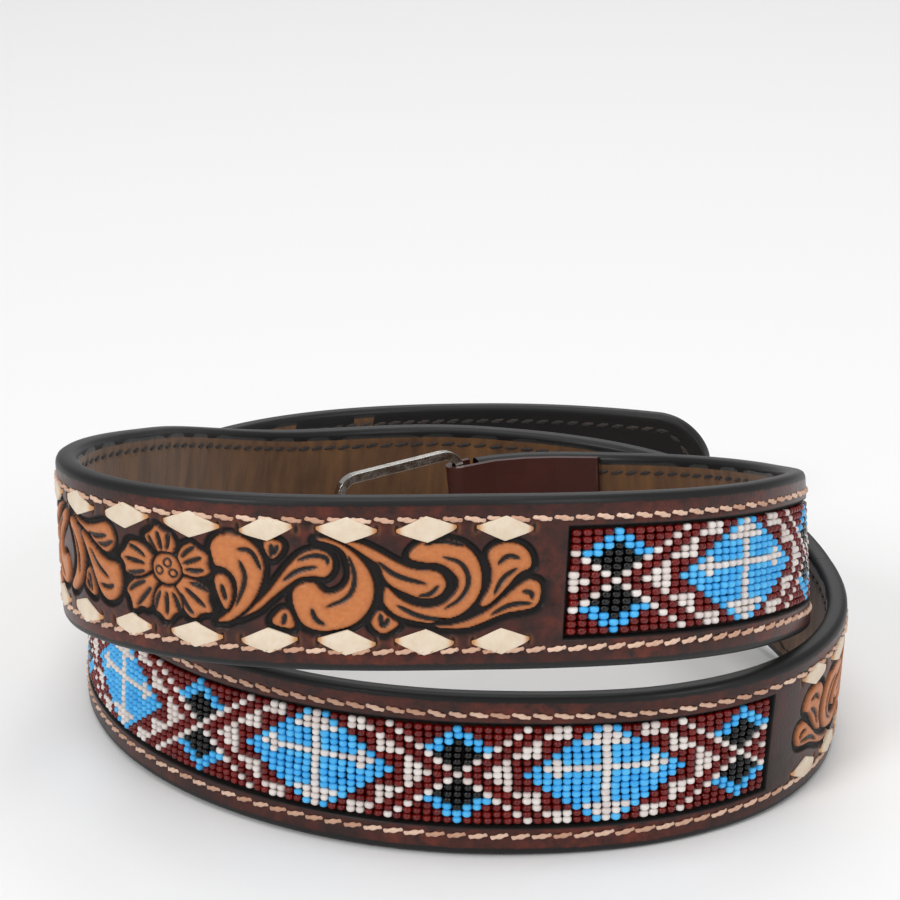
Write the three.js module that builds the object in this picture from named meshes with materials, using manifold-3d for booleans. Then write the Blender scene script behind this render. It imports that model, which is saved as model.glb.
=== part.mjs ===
// Beaded belt: a tooled and laced leather strap with three loom-beaded windows.
// It lies coiled in two turns on a flat surface, with the upper turn lifted in front.
// Millimetres, +Z up, -Y towards the viewer. The origin is on the surface below the middle.

import * as THREE from 'three';
import { mergeGeometries, mergeVertices } from 'three/addons/utils/BufferGeometryUtils.js';
import Module from 'manifold-3d';

const wasm = await Module();
wasm.setup();

// Strap
const STRAP_WIDTH = 38.1;
const OUTER_LEATHER = 3.3;
const LINING = 1.4;
const SEAM_GAP = 0.3;
const EDGE_ROUNDING = 1.5;
const STRAP_LENGTH = 1240;
const STRAP_START = 5;
const TIP_RADIUS = 17;
const TIP_FLAT = 3;
const BLACK_LINING_LENGTH = 105;

// Coil
const COIL_RADIUS = 80;
const COIL_START_DEG = -95;
const COIL_STEP_DEG = 45;
const COIL_MIDDLE = { x: 6.4, y: -11.1 };
const COLUMN_STEP = 9;
const COLUMN_GAP = 0.6;

// Windows and beadwork
const WINDOW_HEIGHT = 24.6;
const BEAD_CLEARANCE = 0.4;
const BEAD_SINK = 0.3;

// Tooled fields
const FIELD_HEIGHT = 18.2;
const FIELD_MARGIN = 1.5;
const RELIEF_HEIGHT = 0.5;
const RELIEF_ROOT = 0.6;
const FLOWER_RADIUS = 7.4;
const FLOWER_EYE = 2.3;
const PETALS = 6;
const LEAF_STEPS = 3;

// Rawhide lacing
const LACE_ROW = 12.3;
const LACE_SPACING = 16.4;
const LACE_DIAMOND = 12.2;
const LACE_HALF_HEIGHT = 2.9;
const LACE_NECK = 0.55;
const LACE_THICKNESS = 0.7;

// Billet holes
const HOLE_RADIUS = 2.4;
const HOLE_SPACING = 22;
const HOLE_COUNT = 5;
const FIRST_HOLE_FROM_TIP = 45;

// Buckle and its fold
const BUCKLE_HEIGHT = 47;
const BUCKLE_LENGTH = 38;
const BUCKLE_BAR = 2.4;
const BUCKLE_CORNER = 6;
const FOLD_LEATHER = 1.7;
const FOLD_LENGTH = 40;
const SNAP_RADIUS = 5;
const SNAP_HEIGHT = 1.2;
const SNAP_SEAT = 0.5;
const SNAP_PLACES = [14, 31];

const THICKNESS = OUTER_LEATHER + SEAM_GAP + LINING;
const HALF_WIDTH = STRAP_WIDTH / 2;
const FACE = THICKNESS / 2;
const BACK = -THICKNESS / 2;
const LEATHER_BACK = FACE - OUTER_LEATHER;

// The coil's route. One row for each eighth of a turn, from the buckle to the tip.
// reach is a share of COIL_RADIUS, lift a share of STRAP_WIDTH, lean the top's outward tilt.
const ROUTE = [
  { reach: 0.585, lift: 0.3, lean: 3 },
  { reach: 0.765, lift: 0.36, lean: 2.5 },
  { reach: 0.93, lift: 0.645, lean: -1 },
  { reach: 1.145, lift: 1.1, lean: -7 },
  { reach: 1.31, lift: 1.37, lean: -6 },
  { reach: 1.495, lift: 1.325, lean: -0.5 },
  { reach: 1.055, lift: 0.9, lean: 1 },
  { reach: 0.975, lift: 0.44, lean: 0 },
  { reach: 0.985, lift: 0.285, lean: -1 },
  { reach: 1.03, lift: 0.185, lean: 0 },
  { reach: 1.095, lift: 0, lean: 1.5 },
  { reach: 1.19, lift: 0, lean: 4.5 },
  { reach: 1.1, lift: 0, lean: -5 },
  { reach: 1.11, lift: 0, lean: -3.5 },
  { reach: 1.235, lift: 0, lean: -3 },
  { reach: 1.47, lift: 0.135, lean: 3 },
  { reach: 1.63, lift: 0.05, lean: 2.5 },
  { reach: 1.78, lift: 0, lean: 1 },
];

// Windows and tooled fields between them, as shares of STRAP_LENGTH from the buckle end.
const WINDOWS = [
  { name: 'bead_panel_front', from: 0.0504, to: 0.1911 },
  { name: 'bead_panel_hidden', from: 0.3323, to: 0.4774 },
  { name: 'bead_panel_low', from: 0.6206, to: 0.7984 },
];
const FIELDS = [
  { name: 'front', from: 0.1948, to: 0.3286, flower: 0.2619, laces: 10 },
  { name: 'low', from: 0.481, to: 0.6148, flower: 0.5479, laces: 10 },
  { name: 'back', from: 0.8024, to: 0.8734, flower: 0.8379, laces: 5 },
];

// Carved leaves of one side of a field, in shares of FLOWER_RADIUS from the flower's middle.
// Each is a curved spine through three points, along and across, with three half widths.
const LEAVES = [
  { along: [2.57, 2.57, 2.1], across: [-1.25, 0.13, 1.2], half: [0.2, 0.62, 0.35] },
  { along: [1.9, 1.6, 1.7], across: [-1.12, -0.63, -0.01], half: [0.06, 0.3, 0.06] },
  { along: [2.1, 3.9, 4.85], across: [-1.25, -0.85, 0.85], half: [0.15, 0.33, 0.15] },
  { along: [3.75, 4.3, 5.5], across: [-0.45, -1.15, -1.08], half: [0.2, 0.6, 0.3] },
  { along: [5.5, 6.5, 5.4], across: [-1.08, -0.1, 1.2], half: [0.3, 0.4, 0.2] },
  { along: [5.4, 7.0, 8.2], across: [1.2, 0.7, -0.2], half: [0.2, 0.4, 0.3] },
  { along: [8.2, 9.0, 8.0], across: [-0.2, 0.55, 1.12], half: [0.3, 0.4, 0.15] },
  { along: [6.5, 8.2, 9.4], across: [-0.75, -1.6, -0.45], half: [0.2, 0.34, 0.3] },
  { along: [9.2, 9.7, 10.5], across: [-0.2, 0.85, 0.75], half: [0.15, 0.36, 0.15] },
  { along: [9.1, 10.3, 10.8], across: [-1.15, -0.95, -0.1], half: [0.15, 0.36, 0.18] },
];

const MATERIALS = {
  leather: new THREE.MeshStandardMaterial({ color: 0x3b1f1a, roughness: 0.38 }),
  suede: new THREE.MeshStandardMaterial({ color: 0x634021, roughness: 0.95 }),
  black: new THREE.MeshStandardMaterial({ color: 0x1d1d1c, roughness: 0.5 }),
  beads: new THREE.MeshStandardMaterial({ color: 0x56b9ee, roughness: 0.2 }),
  rawhide: new THREE.MeshStandardMaterial({ color: 0xe8cfa8, roughness: 0.6 }),
  nickel: new THREE.MeshStandardMaterial({ color: 0xb9b8b4, roughness: 0.3, metalness: 1 }),
};

// Route of the coil

function spline(column, degrees) {
  const last = ROUTE.length - 1;
  const place = (degrees + 90) / COIL_STEP_DEG;
  const i = Math.min(Math.max(Math.floor(place), 0), last - 1);
  const t = place - i;
  const at = (k) => {
    if (k < 0) return 2 * ROUTE[0][column] - ROUTE[1][column];
    if (k > last) return 2 * ROUTE[last][column] - ROUTE[last - 1][column];
    return ROUTE[k][column];
  };
  const [a, b, c, d] = [at(i - 1), at(i), at(i + 1), at(i + 2)];
  const cubic = (3 * b - a - 3 * c + d) * t ** 3;
  return 0.5 * (2 * b + (c - a) * t + (2 * a - 5 * b + 4 * c - d) * t ** 2 + cubic);
}

function routePoint(degrees) {
  const turn = THREE.MathUtils.degToRad(degrees);
  const lean = THREE.MathUtils.degToRad(spline('lean', degrees));
  const reach = COIL_RADIUS * spline('reach', degrees);
  const lift = Math.max(0, STRAP_WIDTH * spline('lift', degrees));
  const middle = HALF_WIDTH * Math.cos(lean) + FACE * Math.abs(Math.sin(lean));
  return new THREE.Vector3(reach * Math.cos(turn), -reach * Math.sin(turn), lift + middle);
}

const ROUTE_SAMPLE_DEG = 0.5;
const ROUTE_LENGTHS = (() => {
  const rows = [{ degrees: COIL_START_DEG, length: 0 }];
  let point = routePoint(COIL_START_DEG);
  while (rows.at(-1).length < STRAP_LENGTH + COLUMN_STEP) {
    const degrees = rows.at(-1).degrees + ROUTE_SAMPLE_DEG;
    const next = routePoint(degrees);
    rows.push({ degrees, length: rows.at(-1).length + next.distanceTo(point) });
    point = next;
  }
  return rows;
})();

function degreesAt(along) {
  let low = 0;
  let high = ROUTE_LENGTHS.length - 1;
  while (high - low > 1) {
    const middle = (low + high) >> 1;
    if (ROUTE_LENGTHS[middle].length > along) high = middle;
    else low = middle;
  }
  const [a, b] = [ROUTE_LENGTHS[low], ROUTE_LENGTHS[high]];
  return a.degrees + ((along - a.length) / (b.length - a.length)) * (b.degrees - a.degrees);
}

// The strap's own frame at a length from its buckle end: run along it, rise across it, out of its face.
function strapFrame(along) {
  const degrees = degreesAt(along);
  const turn = THREE.MathUtils.degToRad(degrees);
  const lean = THREE.MathUtils.degToRad(spline('lean', degrees));
  const run = routePoint(degrees + 0.02).sub(routePoint(degrees - 0.02)).normalize();
  const up = new THREE.Vector3(0, 0, 1).addScaledVector(run, -run.z).normalize();
  const out = new THREE.Vector3().crossVectors(run, up);
  const radial = new THREE.Vector3(Math.cos(turn), -Math.sin(turn), 0);
  if (out.dot(radial) < 0) out.negate();
  const rise = up.clone().multiplyScalar(Math.cos(lean)).addScaledVector(out, Math.sin(lean));
  const face = out.clone().multiplyScalar(Math.cos(lean)).addScaledVector(up, -Math.sin(lean));
  return { middle: routePoint(degrees), run, rise, face };
}

const frames = new Map();

function onStrap(along, across, height) {
  const key = along.toFixed(4);
  if (!frames.has(key)) frames.set(key, strapFrame(along));
  const { middle, rise, face } = frames.get(key);
  return middle.clone().addScaledVector(rise, across).addScaledVector(face, height);
}

// Solids that follow the strap

function solid(geometry) {
  const bare = geometry.clone();
  bare.deleteAttribute('normal');
  bare.deleteAttribute('uv');
  const merged = mergeVertices(bare, 1e-5);
  return new wasm.Manifold(new wasm.Mesh({
    numProp: 3,
    vertProperties: merged.attributes.position.array,
    triVerts: new Uint32Array(merged.index.array),
  }));
}

function geometryOf(manifold) {
  const mesh = manifold.getMesh();
  const geometry = new THREE.BufferGeometry();
  geometry.setAttribute('position', new THREE.BufferAttribute(mesh.vertProperties, 3));
  geometry.setIndex(new THREE.BufferAttribute(mesh.triVerts, 1));
  geometry.computeVertexNormals();
  return geometry;
}

// A grid of cells from a face surface down to a back surface, with the cells that a test leaves out open.
function slab(columns, rows, keep, shape) {
  const across = rows.length;
  const positions = [];
  const triangles = [];
  columns.forEach((column) => {
    rows.forEach((row) => {
      const corner = shape(column, row);
      positions.push(...onStrap(column, corner.across, corner.top).toArray());
      positions.push(...onStrap(column, corner.across, corner.bottom).toArray());
    });
  });
  const top = (i, j) => 2 * (i * across + j);
  const bottom = (i, j) => top(i, j) + 1;
  const kept = (i, j) => {
    if (i < 0 || j < 0 || i >= columns.length - 1 || j >= across - 1) return false;
    return keep((columns[i] + columns[i + 1]) / 2, (rows[j] + rows[j + 1]) / 2);
  };
  const quad = (a, b, c, d) => triangles.push(a, b, c, a, c, d);
  for (let i = 0; i < columns.length - 1; i += 1) {
    for (let j = 0; j < across - 1; j += 1) {
      if (!kept(i, j)) continue;
      quad(top(i, j), top(i, j + 1), top(i + 1, j + 1), top(i + 1, j));
      quad(bottom(i, j), bottom(i + 1, j), bottom(i + 1, j + 1), bottom(i, j + 1));
      if (!kept(i - 1, j)) quad(top(i, j), bottom(i, j), bottom(i, j + 1), top(i, j + 1));
      if (!kept(i + 1, j)) quad(top(i + 1, j + 1), bottom(i + 1, j + 1), bottom(i + 1, j), top(i + 1, j));
      if (!kept(i, j - 1)) quad(top(i + 1, j), bottom(i + 1, j), bottom(i, j), top(i, j));
      if (!kept(i, j + 1)) quad(top(i, j + 1), bottom(i, j + 1), bottom(i + 1, j + 1), top(i + 1, j + 1));
    }
  }
  return outward(positions, triangles);
}

function outward(positions, triangles) {
  const geometry = new THREE.BufferGeometry();
  geometry.setAttribute('position', new THREE.Float32BufferAttribute(positions, 3));
  let volume = 0;
  const [a, b, c] = [new THREE.Vector3(), new THREE.Vector3(), new THREE.Vector3()];
  for (let k = 0; k < triangles.length; k += 3) {
    a.fromArray(positions, 3 * triangles[k]);
    b.fromArray(positions, 3 * triangles[k + 1]);
    c.fromArray(positions, 3 * triangles[k + 2]);
    volume += a.dot(b.cross(c));
  }
  geometry.setIndex(volume > 0 ? triangles : triangles.slice().reverse());
  const merged = mergeVertices(geometry, 1e-5);
  merged.computeVertexNormals();
  return merged;
}

// A band between two rows of points on the strap, from one height down to another.
function ribbon(pairs, top, bottom) {
  const positions = [];
  const triangles = [];
  pairs.forEach(([left, right]) => {
    positions.push(...onStrap(left[0], left[1], top).toArray(), ...onStrap(right[0], right[1], top).toArray());
    positions.push(...onStrap(right[0], right[1], bottom).toArray());
    positions.push(...onStrap(left[0], left[1], bottom).toArray());
  });
  for (let i = 0; i < pairs.length - 1; i += 1) {
    for (let k = 0; k < 4; k += 1) {
      const [p, q] = [4 * i + k, 4 * i + ((k + 1) % 4)];
      triangles.push(p, q, q + 4, p, q + 4, p + 4);
    }
  }
  const end = 4 * (pairs.length - 1);
  triangles.push(0, 3, 2, 0, 2, 1, end, end + 1, end + 2, end, end + 2, end + 3);
  return outward(positions, triangles);
}

// Columns at the same lengths on every layer, so that the layers bend alike and keep their gap.
function lengthColumns(from, to, extra = []) {
  const even = [];
  for (let value = Math.ceil(from / COLUMN_STEP) * COLUMN_STEP; value < to; value += COLUMN_STEP) even.push(value);
  const own = [from, ...extra.filter((value) => value > from && value < to), to];
  const spaced = even.filter((value) => own.every((other) => Math.abs(other - value) > COLUMN_GAP));
  return [...new Set([...spaced, ...own])].sort((p, q) => p - q);
}

function windowOf(along) {
  return WINDOWS.find((opening) => along > opening.from * STRAP_LENGTH && along < opening.to * STRAP_LENGTH);
}

// Half width of the strap, which narrows to a rounded tip.
function halfWidthAt(along, inset = 0) {
  const past = along - (STRAP_LENGTH - inset - TIP_RADIUS);
  if (past <= 0) return HALF_WIDTH - inset;
  const round = Math.sqrt(Math.max(0, 1 - (past / TIP_RADIUS) ** 2));
  return TIP_FLAT + (HALF_WIDTH - inset - TIP_FLAT) * round;
}

const TIP_COLUMNS = [0, 0.35, 0.6, 0.8, 0.93].map((share) => STRAP_LENGTH - TIP_RADIUS * (1 - share));

// Outer strap

function leaf({ along, across, half }, field, side) {
  const spine = new THREE.QuadraticBezierCurve(
    new THREE.Vector2(along[0], across[0]),
    new THREE.Vector2(along[1], across[1]),
    new THREE.Vector2(along[2], across[2]),
  );
  const widths = new THREE.QuadraticBezierCurve(
    new THREE.Vector2(0, half[0]),
    new THREE.Vector2(0.5, 2 * half[1] - (half[0] + half[2]) / 2),
    new THREE.Vector2(1, half[2]),
  );
  const limit = FIELD_HEIGHT / 2;
  const pairs = Array.from({ length: LEAF_STEPS + 1 }, (_, k) => {
    const t = k / LEAF_STEPS;
    const point = spine.getPoint(t);
    const normal = spine.getTangent(t).rotateAround(new THREE.Vector2(), Math.PI / 2);
    return [1, -1].map((sign) => {
      const edge = point.clone().addScaledVector(normal, sign * widths.getPoint(t).y);
      edge.multiplyScalar(FLOWER_RADIUS);
      const height = THREE.MathUtils.clamp(edge.y, -limit, limit);
      return [field.flower * STRAP_LENGTH + side * edge.x, height];
    });
  });
  return ribbon(pairs, FACE + RELIEF_HEIGHT, FACE - RELIEF_ROOT);
}

function petal(field, k) {
  const turn = (2 * Math.PI * k) / PETALS;
  const middle = field.flower * STRAP_LENGTH;
  const shape = [
    { out: 0.1, half: 0.1 },
    { out: 0.45, half: 0.3 },
    { out: 0.8, half: 0.38 },
    { out: 1, half: 0.16 },
  ];
  const pairs = shape.map(({ out, half }) => [1, -1].map((sign) => {
    const point = new THREE.Vector2(out, sign * half).multiplyScalar(FLOWER_RADIUS);
    point.rotateAround(new THREE.Vector2(), turn);
    return [middle + point.x, point.y];
  }));
  return ribbon(pairs, FACE + RELIEF_HEIGHT, FACE - RELIEF_ROOT);
}

function relief(field) {
  const carved = Array.from({ length: PETALS }, (_, k) => solid(petal(field, k)));
  const reach = ((field.to - field.from) * STRAP_LENGTH) / 2 - FIELD_MARGIN;
  LEAVES.filter(({ along }) => Math.max(...along) * FLOWER_RADIUS < reach).forEach((row) => {
    [1, -1].forEach((side) => carved.push(solid(leaf(row, field, side))));
  });
  return carved;
}

function outerStrap() {
  const edges = [HALF_WIDTH, HALF_WIDTH - EDGE_ROUNDING, WINDOW_HEIGHT / 2];
  const rows = [...edges.map((value) => -value), ...edges.slice().reverse()];
  const ends = WINDOWS.flatMap(({ from, to }) => [from * STRAP_LENGTH, to * STRAP_LENGTH]);
  const columns = lengthColumns(STRAP_START, STRAP_LENGTH, [...ends, ...TIP_COLUMNS]);
  const keep = (along, across) => !(windowOf(along) && Math.abs(across) < WINDOW_HEIGHT / 2);
  const shape = (along, row) => ({
    across: (row / HALF_WIDTH) * halfWidthAt(along),
    top: FACE - (Math.abs(row) === HALF_WIDTH ? EDGE_ROUNDING * 0.8 : 0),
    bottom: LEATHER_BACK,
  });
  let strap = solid(slab(columns, rows, keep, shape));
  FIELDS.forEach((field) => relief(field).forEach((piece) => { strap = strap.add(piece); }));
  billetHoles(LEATHER_BACK - 1, FACE + 1, HOLE_RADIUS).forEach((hole) => { strap = strap.subtract(hole); });
  return geometryOf(strap);
}

// Billet holes

function billetHoles(bottom, top, radius) {
  return Array.from({ length: HOLE_COUNT }, (_, k) => {
    const along = STRAP_LENGTH - FIRST_HOLE_FROM_TIP - k * HOLE_SPACING;
    const { run, rise, face } = strapFrame(along);
    const drill = new THREE.CylinderGeometry(radius, radius, top - bottom, 12);
    drill.rotateX(Math.PI / 2);
    drill.applyMatrix4(new THREE.Matrix4().makeBasis(run, face.clone().cross(run), face));
    drill.translate(...onStrap(along, 0, (top + bottom) / 2).toArray());
    return solid(drill);
  });
}

// Linings

function lining() {
  const end = STRAP_LENGTH - BLACK_LINING_LENGTH - SEAM_GAP;
  const half = HALF_WIDTH - SEAM_GAP;
  const columns = lengthColumns(STRAP_START + SEAM_GAP, end);
  return slab(columns, [-half, half], () => true, (along, row) => ({ across: row, top: BACK + LINING, bottom: BACK }));
}

function billetLining() {
  const start = STRAP_LENGTH - BLACK_LINING_LENGTH;
  const half = HALF_WIDTH - SEAM_GAP;
  const columns = lengthColumns(start, STRAP_LENGTH - SEAM_GAP, TIP_COLUMNS.slice(0, -1));
  const shape = (along, row) => ({
    across: (row / half) * halfWidthAt(along, SEAM_GAP),
    top: BACK + LINING,
    bottom: BACK,
  });
  let sheet = solid(slab(columns, [-half, half], () => true, shape));
  billetHoles(BACK - 1, FACE, HOLE_RADIUS).forEach((hole) => { sheet = sheet.subtract(hole); });
  return geometryOf(sheet);
}

// Beadwork

function beadPanel({ from, to }) {
  const half = WINDOW_HEIGHT / 2 - BEAD_CLEARANCE;
  const columns = lengthColumns(from * STRAP_LENGTH + BEAD_CLEARANCE, to * STRAP_LENGTH - BEAD_CLEARANCE);
  const shape = (along, row) => ({ across: row, top: FACE - BEAD_SINK, bottom: BACK + LINING + SEAM_GAP });
  return slab(columns, [-half, half], () => true, shape);
}

// Lacing: diamonds of one rawhide lace, joined by its narrow runs

function lace(field, sign) {
  const middle = ((field.from + field.to) / 2) * STRAP_LENGTH;
  const first = middle - ((field.laces - 1) / 2) * LACE_SPACING;
  const pairs = [];
  for (let k = 0; k < field.laces; k += 1) {
    const place = first + k * LACE_SPACING;
    [[-0.5, LACE_NECK], [0, LACE_HALF_HEIGHT], [0.5, LACE_NECK]].forEach(([share, half]) => {
      const along = place + share * LACE_DIAMOND;
      pairs.push([[along, sign * LACE_ROW + half], [along, sign * LACE_ROW - half]]);
    });
  }
  return ribbon(pairs, FACE + SEAM_GAP + LACE_THICKNESS, FACE + SEAM_GAP);
}

// Buckle end. Its profile is drawn across the strap's thickness and runs along its width.

const START = strapFrame(0);
const END_TURN = new THREE.Matrix4().makeBasis(START.run, START.face, START.run.clone().cross(START.face));
const FOLD_OUTER = (FACE - BACK + SEAM_GAP + FOLD_LEATHER) / 2;
const FOLD_MIDDLE = FACE - FOLD_OUTER;

function atBuckleEnd(geometry) {
  geometry.applyMatrix4(END_TURN);
  geometry.translate(...START.middle.toArray());
  return geometry;
}

function buckleFold() {
  const inner = FOLD_OUTER - FOLD_LEATHER;
  const outline = new THREE.Shape();
  outline.moveTo(STRAP_START - 2 * SEAM_GAP, FACE);
  outline.lineTo(0, FACE);
  outline.absarc(0, FOLD_MIDDLE, FOLD_OUTER, Math.PI / 2, Math.PI * 1.5, false);
  outline.lineTo(0.1, FOLD_MIDDLE - FOLD_OUTER);
  outline.lineTo(0.1, FOLD_MIDDLE - inner);
  outline.absarc(0, FOLD_MIDDLE, inner, Math.PI * 1.5, Math.PI / 2, true);
  outline.lineTo(STRAP_START - 2 * SEAM_GAP, FACE - FOLD_LEATHER);
  outline.closePath();
  const width = STRAP_WIDTH - 2 * SEAM_GAP;
  const wrap = new THREE.ExtrudeGeometry(outline, { depth: width, bevelEnabled: false, curveSegments: 10 });
  wrap.translate(0, 0, -width / 2);
  const leg = slab(
    lengthColumns(0, FOLD_LENGTH),
    [-width / 2, width / 2],
    () => true,
    (along, row) => ({ across: row, top: BACK - SEAM_GAP, bottom: BACK - SEAM_GAP - FOLD_LEATHER }),
  );
  return geometryOf(solid(atBuckleEnd(wrap)).add(solid(leg)));
}

function buckle() {
  const bar = BUCKLE_BAR;
  const frame = new THREE.Shape();
  const rounded = (path, x0, y0, x1, y1, r) => {
    path.moveTo(x0 + r, y0);
    path.lineTo(x1 - r, y0);
    path.absarc(x1 - r, y0 + r, r, -Math.PI / 2, 0, false);
    path.lineTo(x1, y1 - r);
    path.absarc(x1 - r, y1 - r, r, 0, Math.PI / 2, false);
    path.lineTo(x0 + r, y1);
    path.absarc(x0 + r, y1 - r, r, Math.PI / 2, Math.PI, false);
    path.lineTo(x0, y0 + r);
    path.absarc(x0 + r, y0 + r, r, Math.PI, Math.PI * 1.5, false);
  };
  const half = BUCKLE_HEIGHT / 2;
  rounded(frame, -bar / 2, -half, BUCKLE_LENGTH - bar / 2, half, BUCKLE_CORNER);
  const hole = new THREE.Path();
  rounded(hole, bar / 2, -half + bar, BUCKLE_LENGTH - 1.5 * bar, half - bar, BUCKLE_CORNER / 2);
  frame.holes.push(hole);
  const plate = new THREE.ExtrudeGeometry(frame, { depth: bar, bevelEnabled: false, curveSegments: 4 });
  plate.rotateY(Math.PI);
  plate.rotateX(-Math.PI / 2);
  plate.translate(0, FOLD_MIDDLE + bar / 2, 0);
  return atBuckleEnd(plate);
}

function snap(along) {
  const { run, rise, face } = strapFrame(along);
  const cap = new THREE.LatheGeometry([
    new THREE.Vector2(0, 0),
    new THREE.Vector2(SNAP_RADIUS, 0),
    new THREE.Vector2(SNAP_RADIUS * 0.86, SNAP_HEIGHT * 0.6),
    new THREE.Vector2(0, SNAP_HEIGHT),
  ], 16);
  const inward = face.clone().negate();
  cap.applyMatrix4(new THREE.Matrix4().makeBasis(run, inward, run.clone().cross(inward)));
  cap.translate(...onStrap(along, 0, BACK - SEAM_GAP - FOLD_LEATHER - SNAP_SEAT).toArray());
  return geometryOf(solid(cap));
}

// The belt

// The coil's own middle lies a little off the middle of its outline, which is the belt's origin.
const belt = new THREE.Group();
belt.position.set(COIL_MIDDLE.x, COIL_MIDDLE.y, 0);

function addPiece(name, geometry, material) {
  const mesh = new THREE.Mesh(geometry, material);
  mesh.name = name;
  belt.add(mesh);
}

addPiece('outer_strap', outerStrap(), MATERIALS.leather);
addPiece('lining', lining(), MATERIALS.suede);
addPiece('billet_lining', billetLining(), MATERIALS.black);
WINDOWS.forEach((opening) => addPiece(opening.name, beadPanel(opening), MATERIALS.beads));
FIELDS.forEach((field) => {
  addPiece(`lace_${field.name}_upper`, lace(field, 1), MATERIALS.rawhide);
  addPiece(`lace_${field.name}_lower`, lace(field, -1), MATERIALS.rawhide);
});
addPiece('buckle_fold', buckleFold(), MATERIALS.leather);
addPiece('buckle', buckle(), MATERIALS.nickel);
SNAP_PLACES.forEach((place, k) => addPiece(`fold_snap_${k + 1}`, snap(place), MATERIALS.nickel));

export default belt;
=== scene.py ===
"""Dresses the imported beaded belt: carved leather, loom beadwork, rawhide lacing, stitching and suede.

The belt lies coiled in two turns. Every soft or fine part is laid out in the strap's own frame, as a
length along it, a place across it and a height over its middle, and the route then bends it round
the coil. Lengths are in millimetres until a mesh is written, which is in metres.
"""

from __future__ import annotations

import logging
import math
from dataclasses import dataclass, field
from enum import Enum

import bmesh
import bpy
import numpy as np
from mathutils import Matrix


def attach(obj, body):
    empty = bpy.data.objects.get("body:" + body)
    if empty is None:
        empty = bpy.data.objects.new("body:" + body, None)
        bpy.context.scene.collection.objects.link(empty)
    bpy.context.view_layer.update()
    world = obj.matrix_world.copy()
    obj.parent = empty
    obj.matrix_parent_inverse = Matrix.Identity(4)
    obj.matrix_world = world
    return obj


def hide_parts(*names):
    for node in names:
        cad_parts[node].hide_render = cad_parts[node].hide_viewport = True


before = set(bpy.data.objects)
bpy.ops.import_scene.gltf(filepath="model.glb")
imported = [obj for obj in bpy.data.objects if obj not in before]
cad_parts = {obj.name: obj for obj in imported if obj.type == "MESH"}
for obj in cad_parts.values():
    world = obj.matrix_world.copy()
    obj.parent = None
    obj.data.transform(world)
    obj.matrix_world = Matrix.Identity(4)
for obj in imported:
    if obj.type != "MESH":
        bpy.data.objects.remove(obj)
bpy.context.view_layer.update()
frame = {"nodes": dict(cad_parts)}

LOG = logging.getLogger("belt")
MM = 0.001


class Face(Enum):
    """The side of the strap that a sheet looks towards."""

    OUTER = 1.0
    INNER = -1.0


# Helpers


def linear(hex_colour: str) -> tuple[float, float, float, float]:
    """Turns an sRGB hex colour into linear RGBA.

    Args:
        hex_colour: six hex digits after a hash.

    Returns:
        The linear colour with full alpha.
    """
    parts = [int(hex_colour[k : k + 2], 16) / 255 for k in (1, 3, 5)]
    red, green, blue = [c / 12.92 if c <= 0.04045 else ((c + 0.055) / 1.055) ** 2.4 for c in parts]
    return (red, green, blue, 1.0)


def add(
    tree: bpy.types.NodeTree,
    kind: str,
    inputs: dict[str | int, object] | None = None,
    **settings: object,
) -> bpy.types.Node:
    """Adds one shader node.

    Args:
        tree: the node tree it goes into.
        kind: the node's type name.
        inputs: values, or sockets to link, by the input's name or index.
        settings: the node's own properties.

    Returns:
        The new node.
    """
    node = tree.nodes.new(kind)
    for key, value in settings.items():
        setattr(node, key, value)
    for key, value in (inputs or {}).items():
        if isinstance(value, bpy.types.NodeSocket):
            tree.links.new(value, node.inputs[key])
        else:
            node.inputs[key].default_value = value
    return node


def blank(name: str) -> tuple[bpy.types.Material, bpy.types.NodeTree]:
    """Makes an empty node material with its output.

    Args:
        name: the material's name.

    Returns:
        The material and its node tree.
    """
    material = bpy.data.materials.new(name)
    material.use_nodes = True
    material.node_tree.nodes.clear()
    return material, material.node_tree


def surface(tree: bpy.types.NodeTree, inputs: dict[str | int, object]) -> None:
    """Ends a material in one Principled shader.

    Args:
        tree: the material's node tree.
        inputs: the shader's values and links.
    """
    shader = add(tree, "ShaderNodeBsdfPrincipled", inputs)
    add(tree, "ShaderNodeOutputMaterial", {"Surface": shader.outputs["BSDF"]})


def smooth(value: np.ndarray, low: float, high: float) -> np.ndarray:
    """A smooth step from 0 at low to 1 at high."""
    t = np.clip((value - low) / (high - low), 0, 1)
    return t * t * (3 - 2 * t)


# Route of the coil


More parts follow.
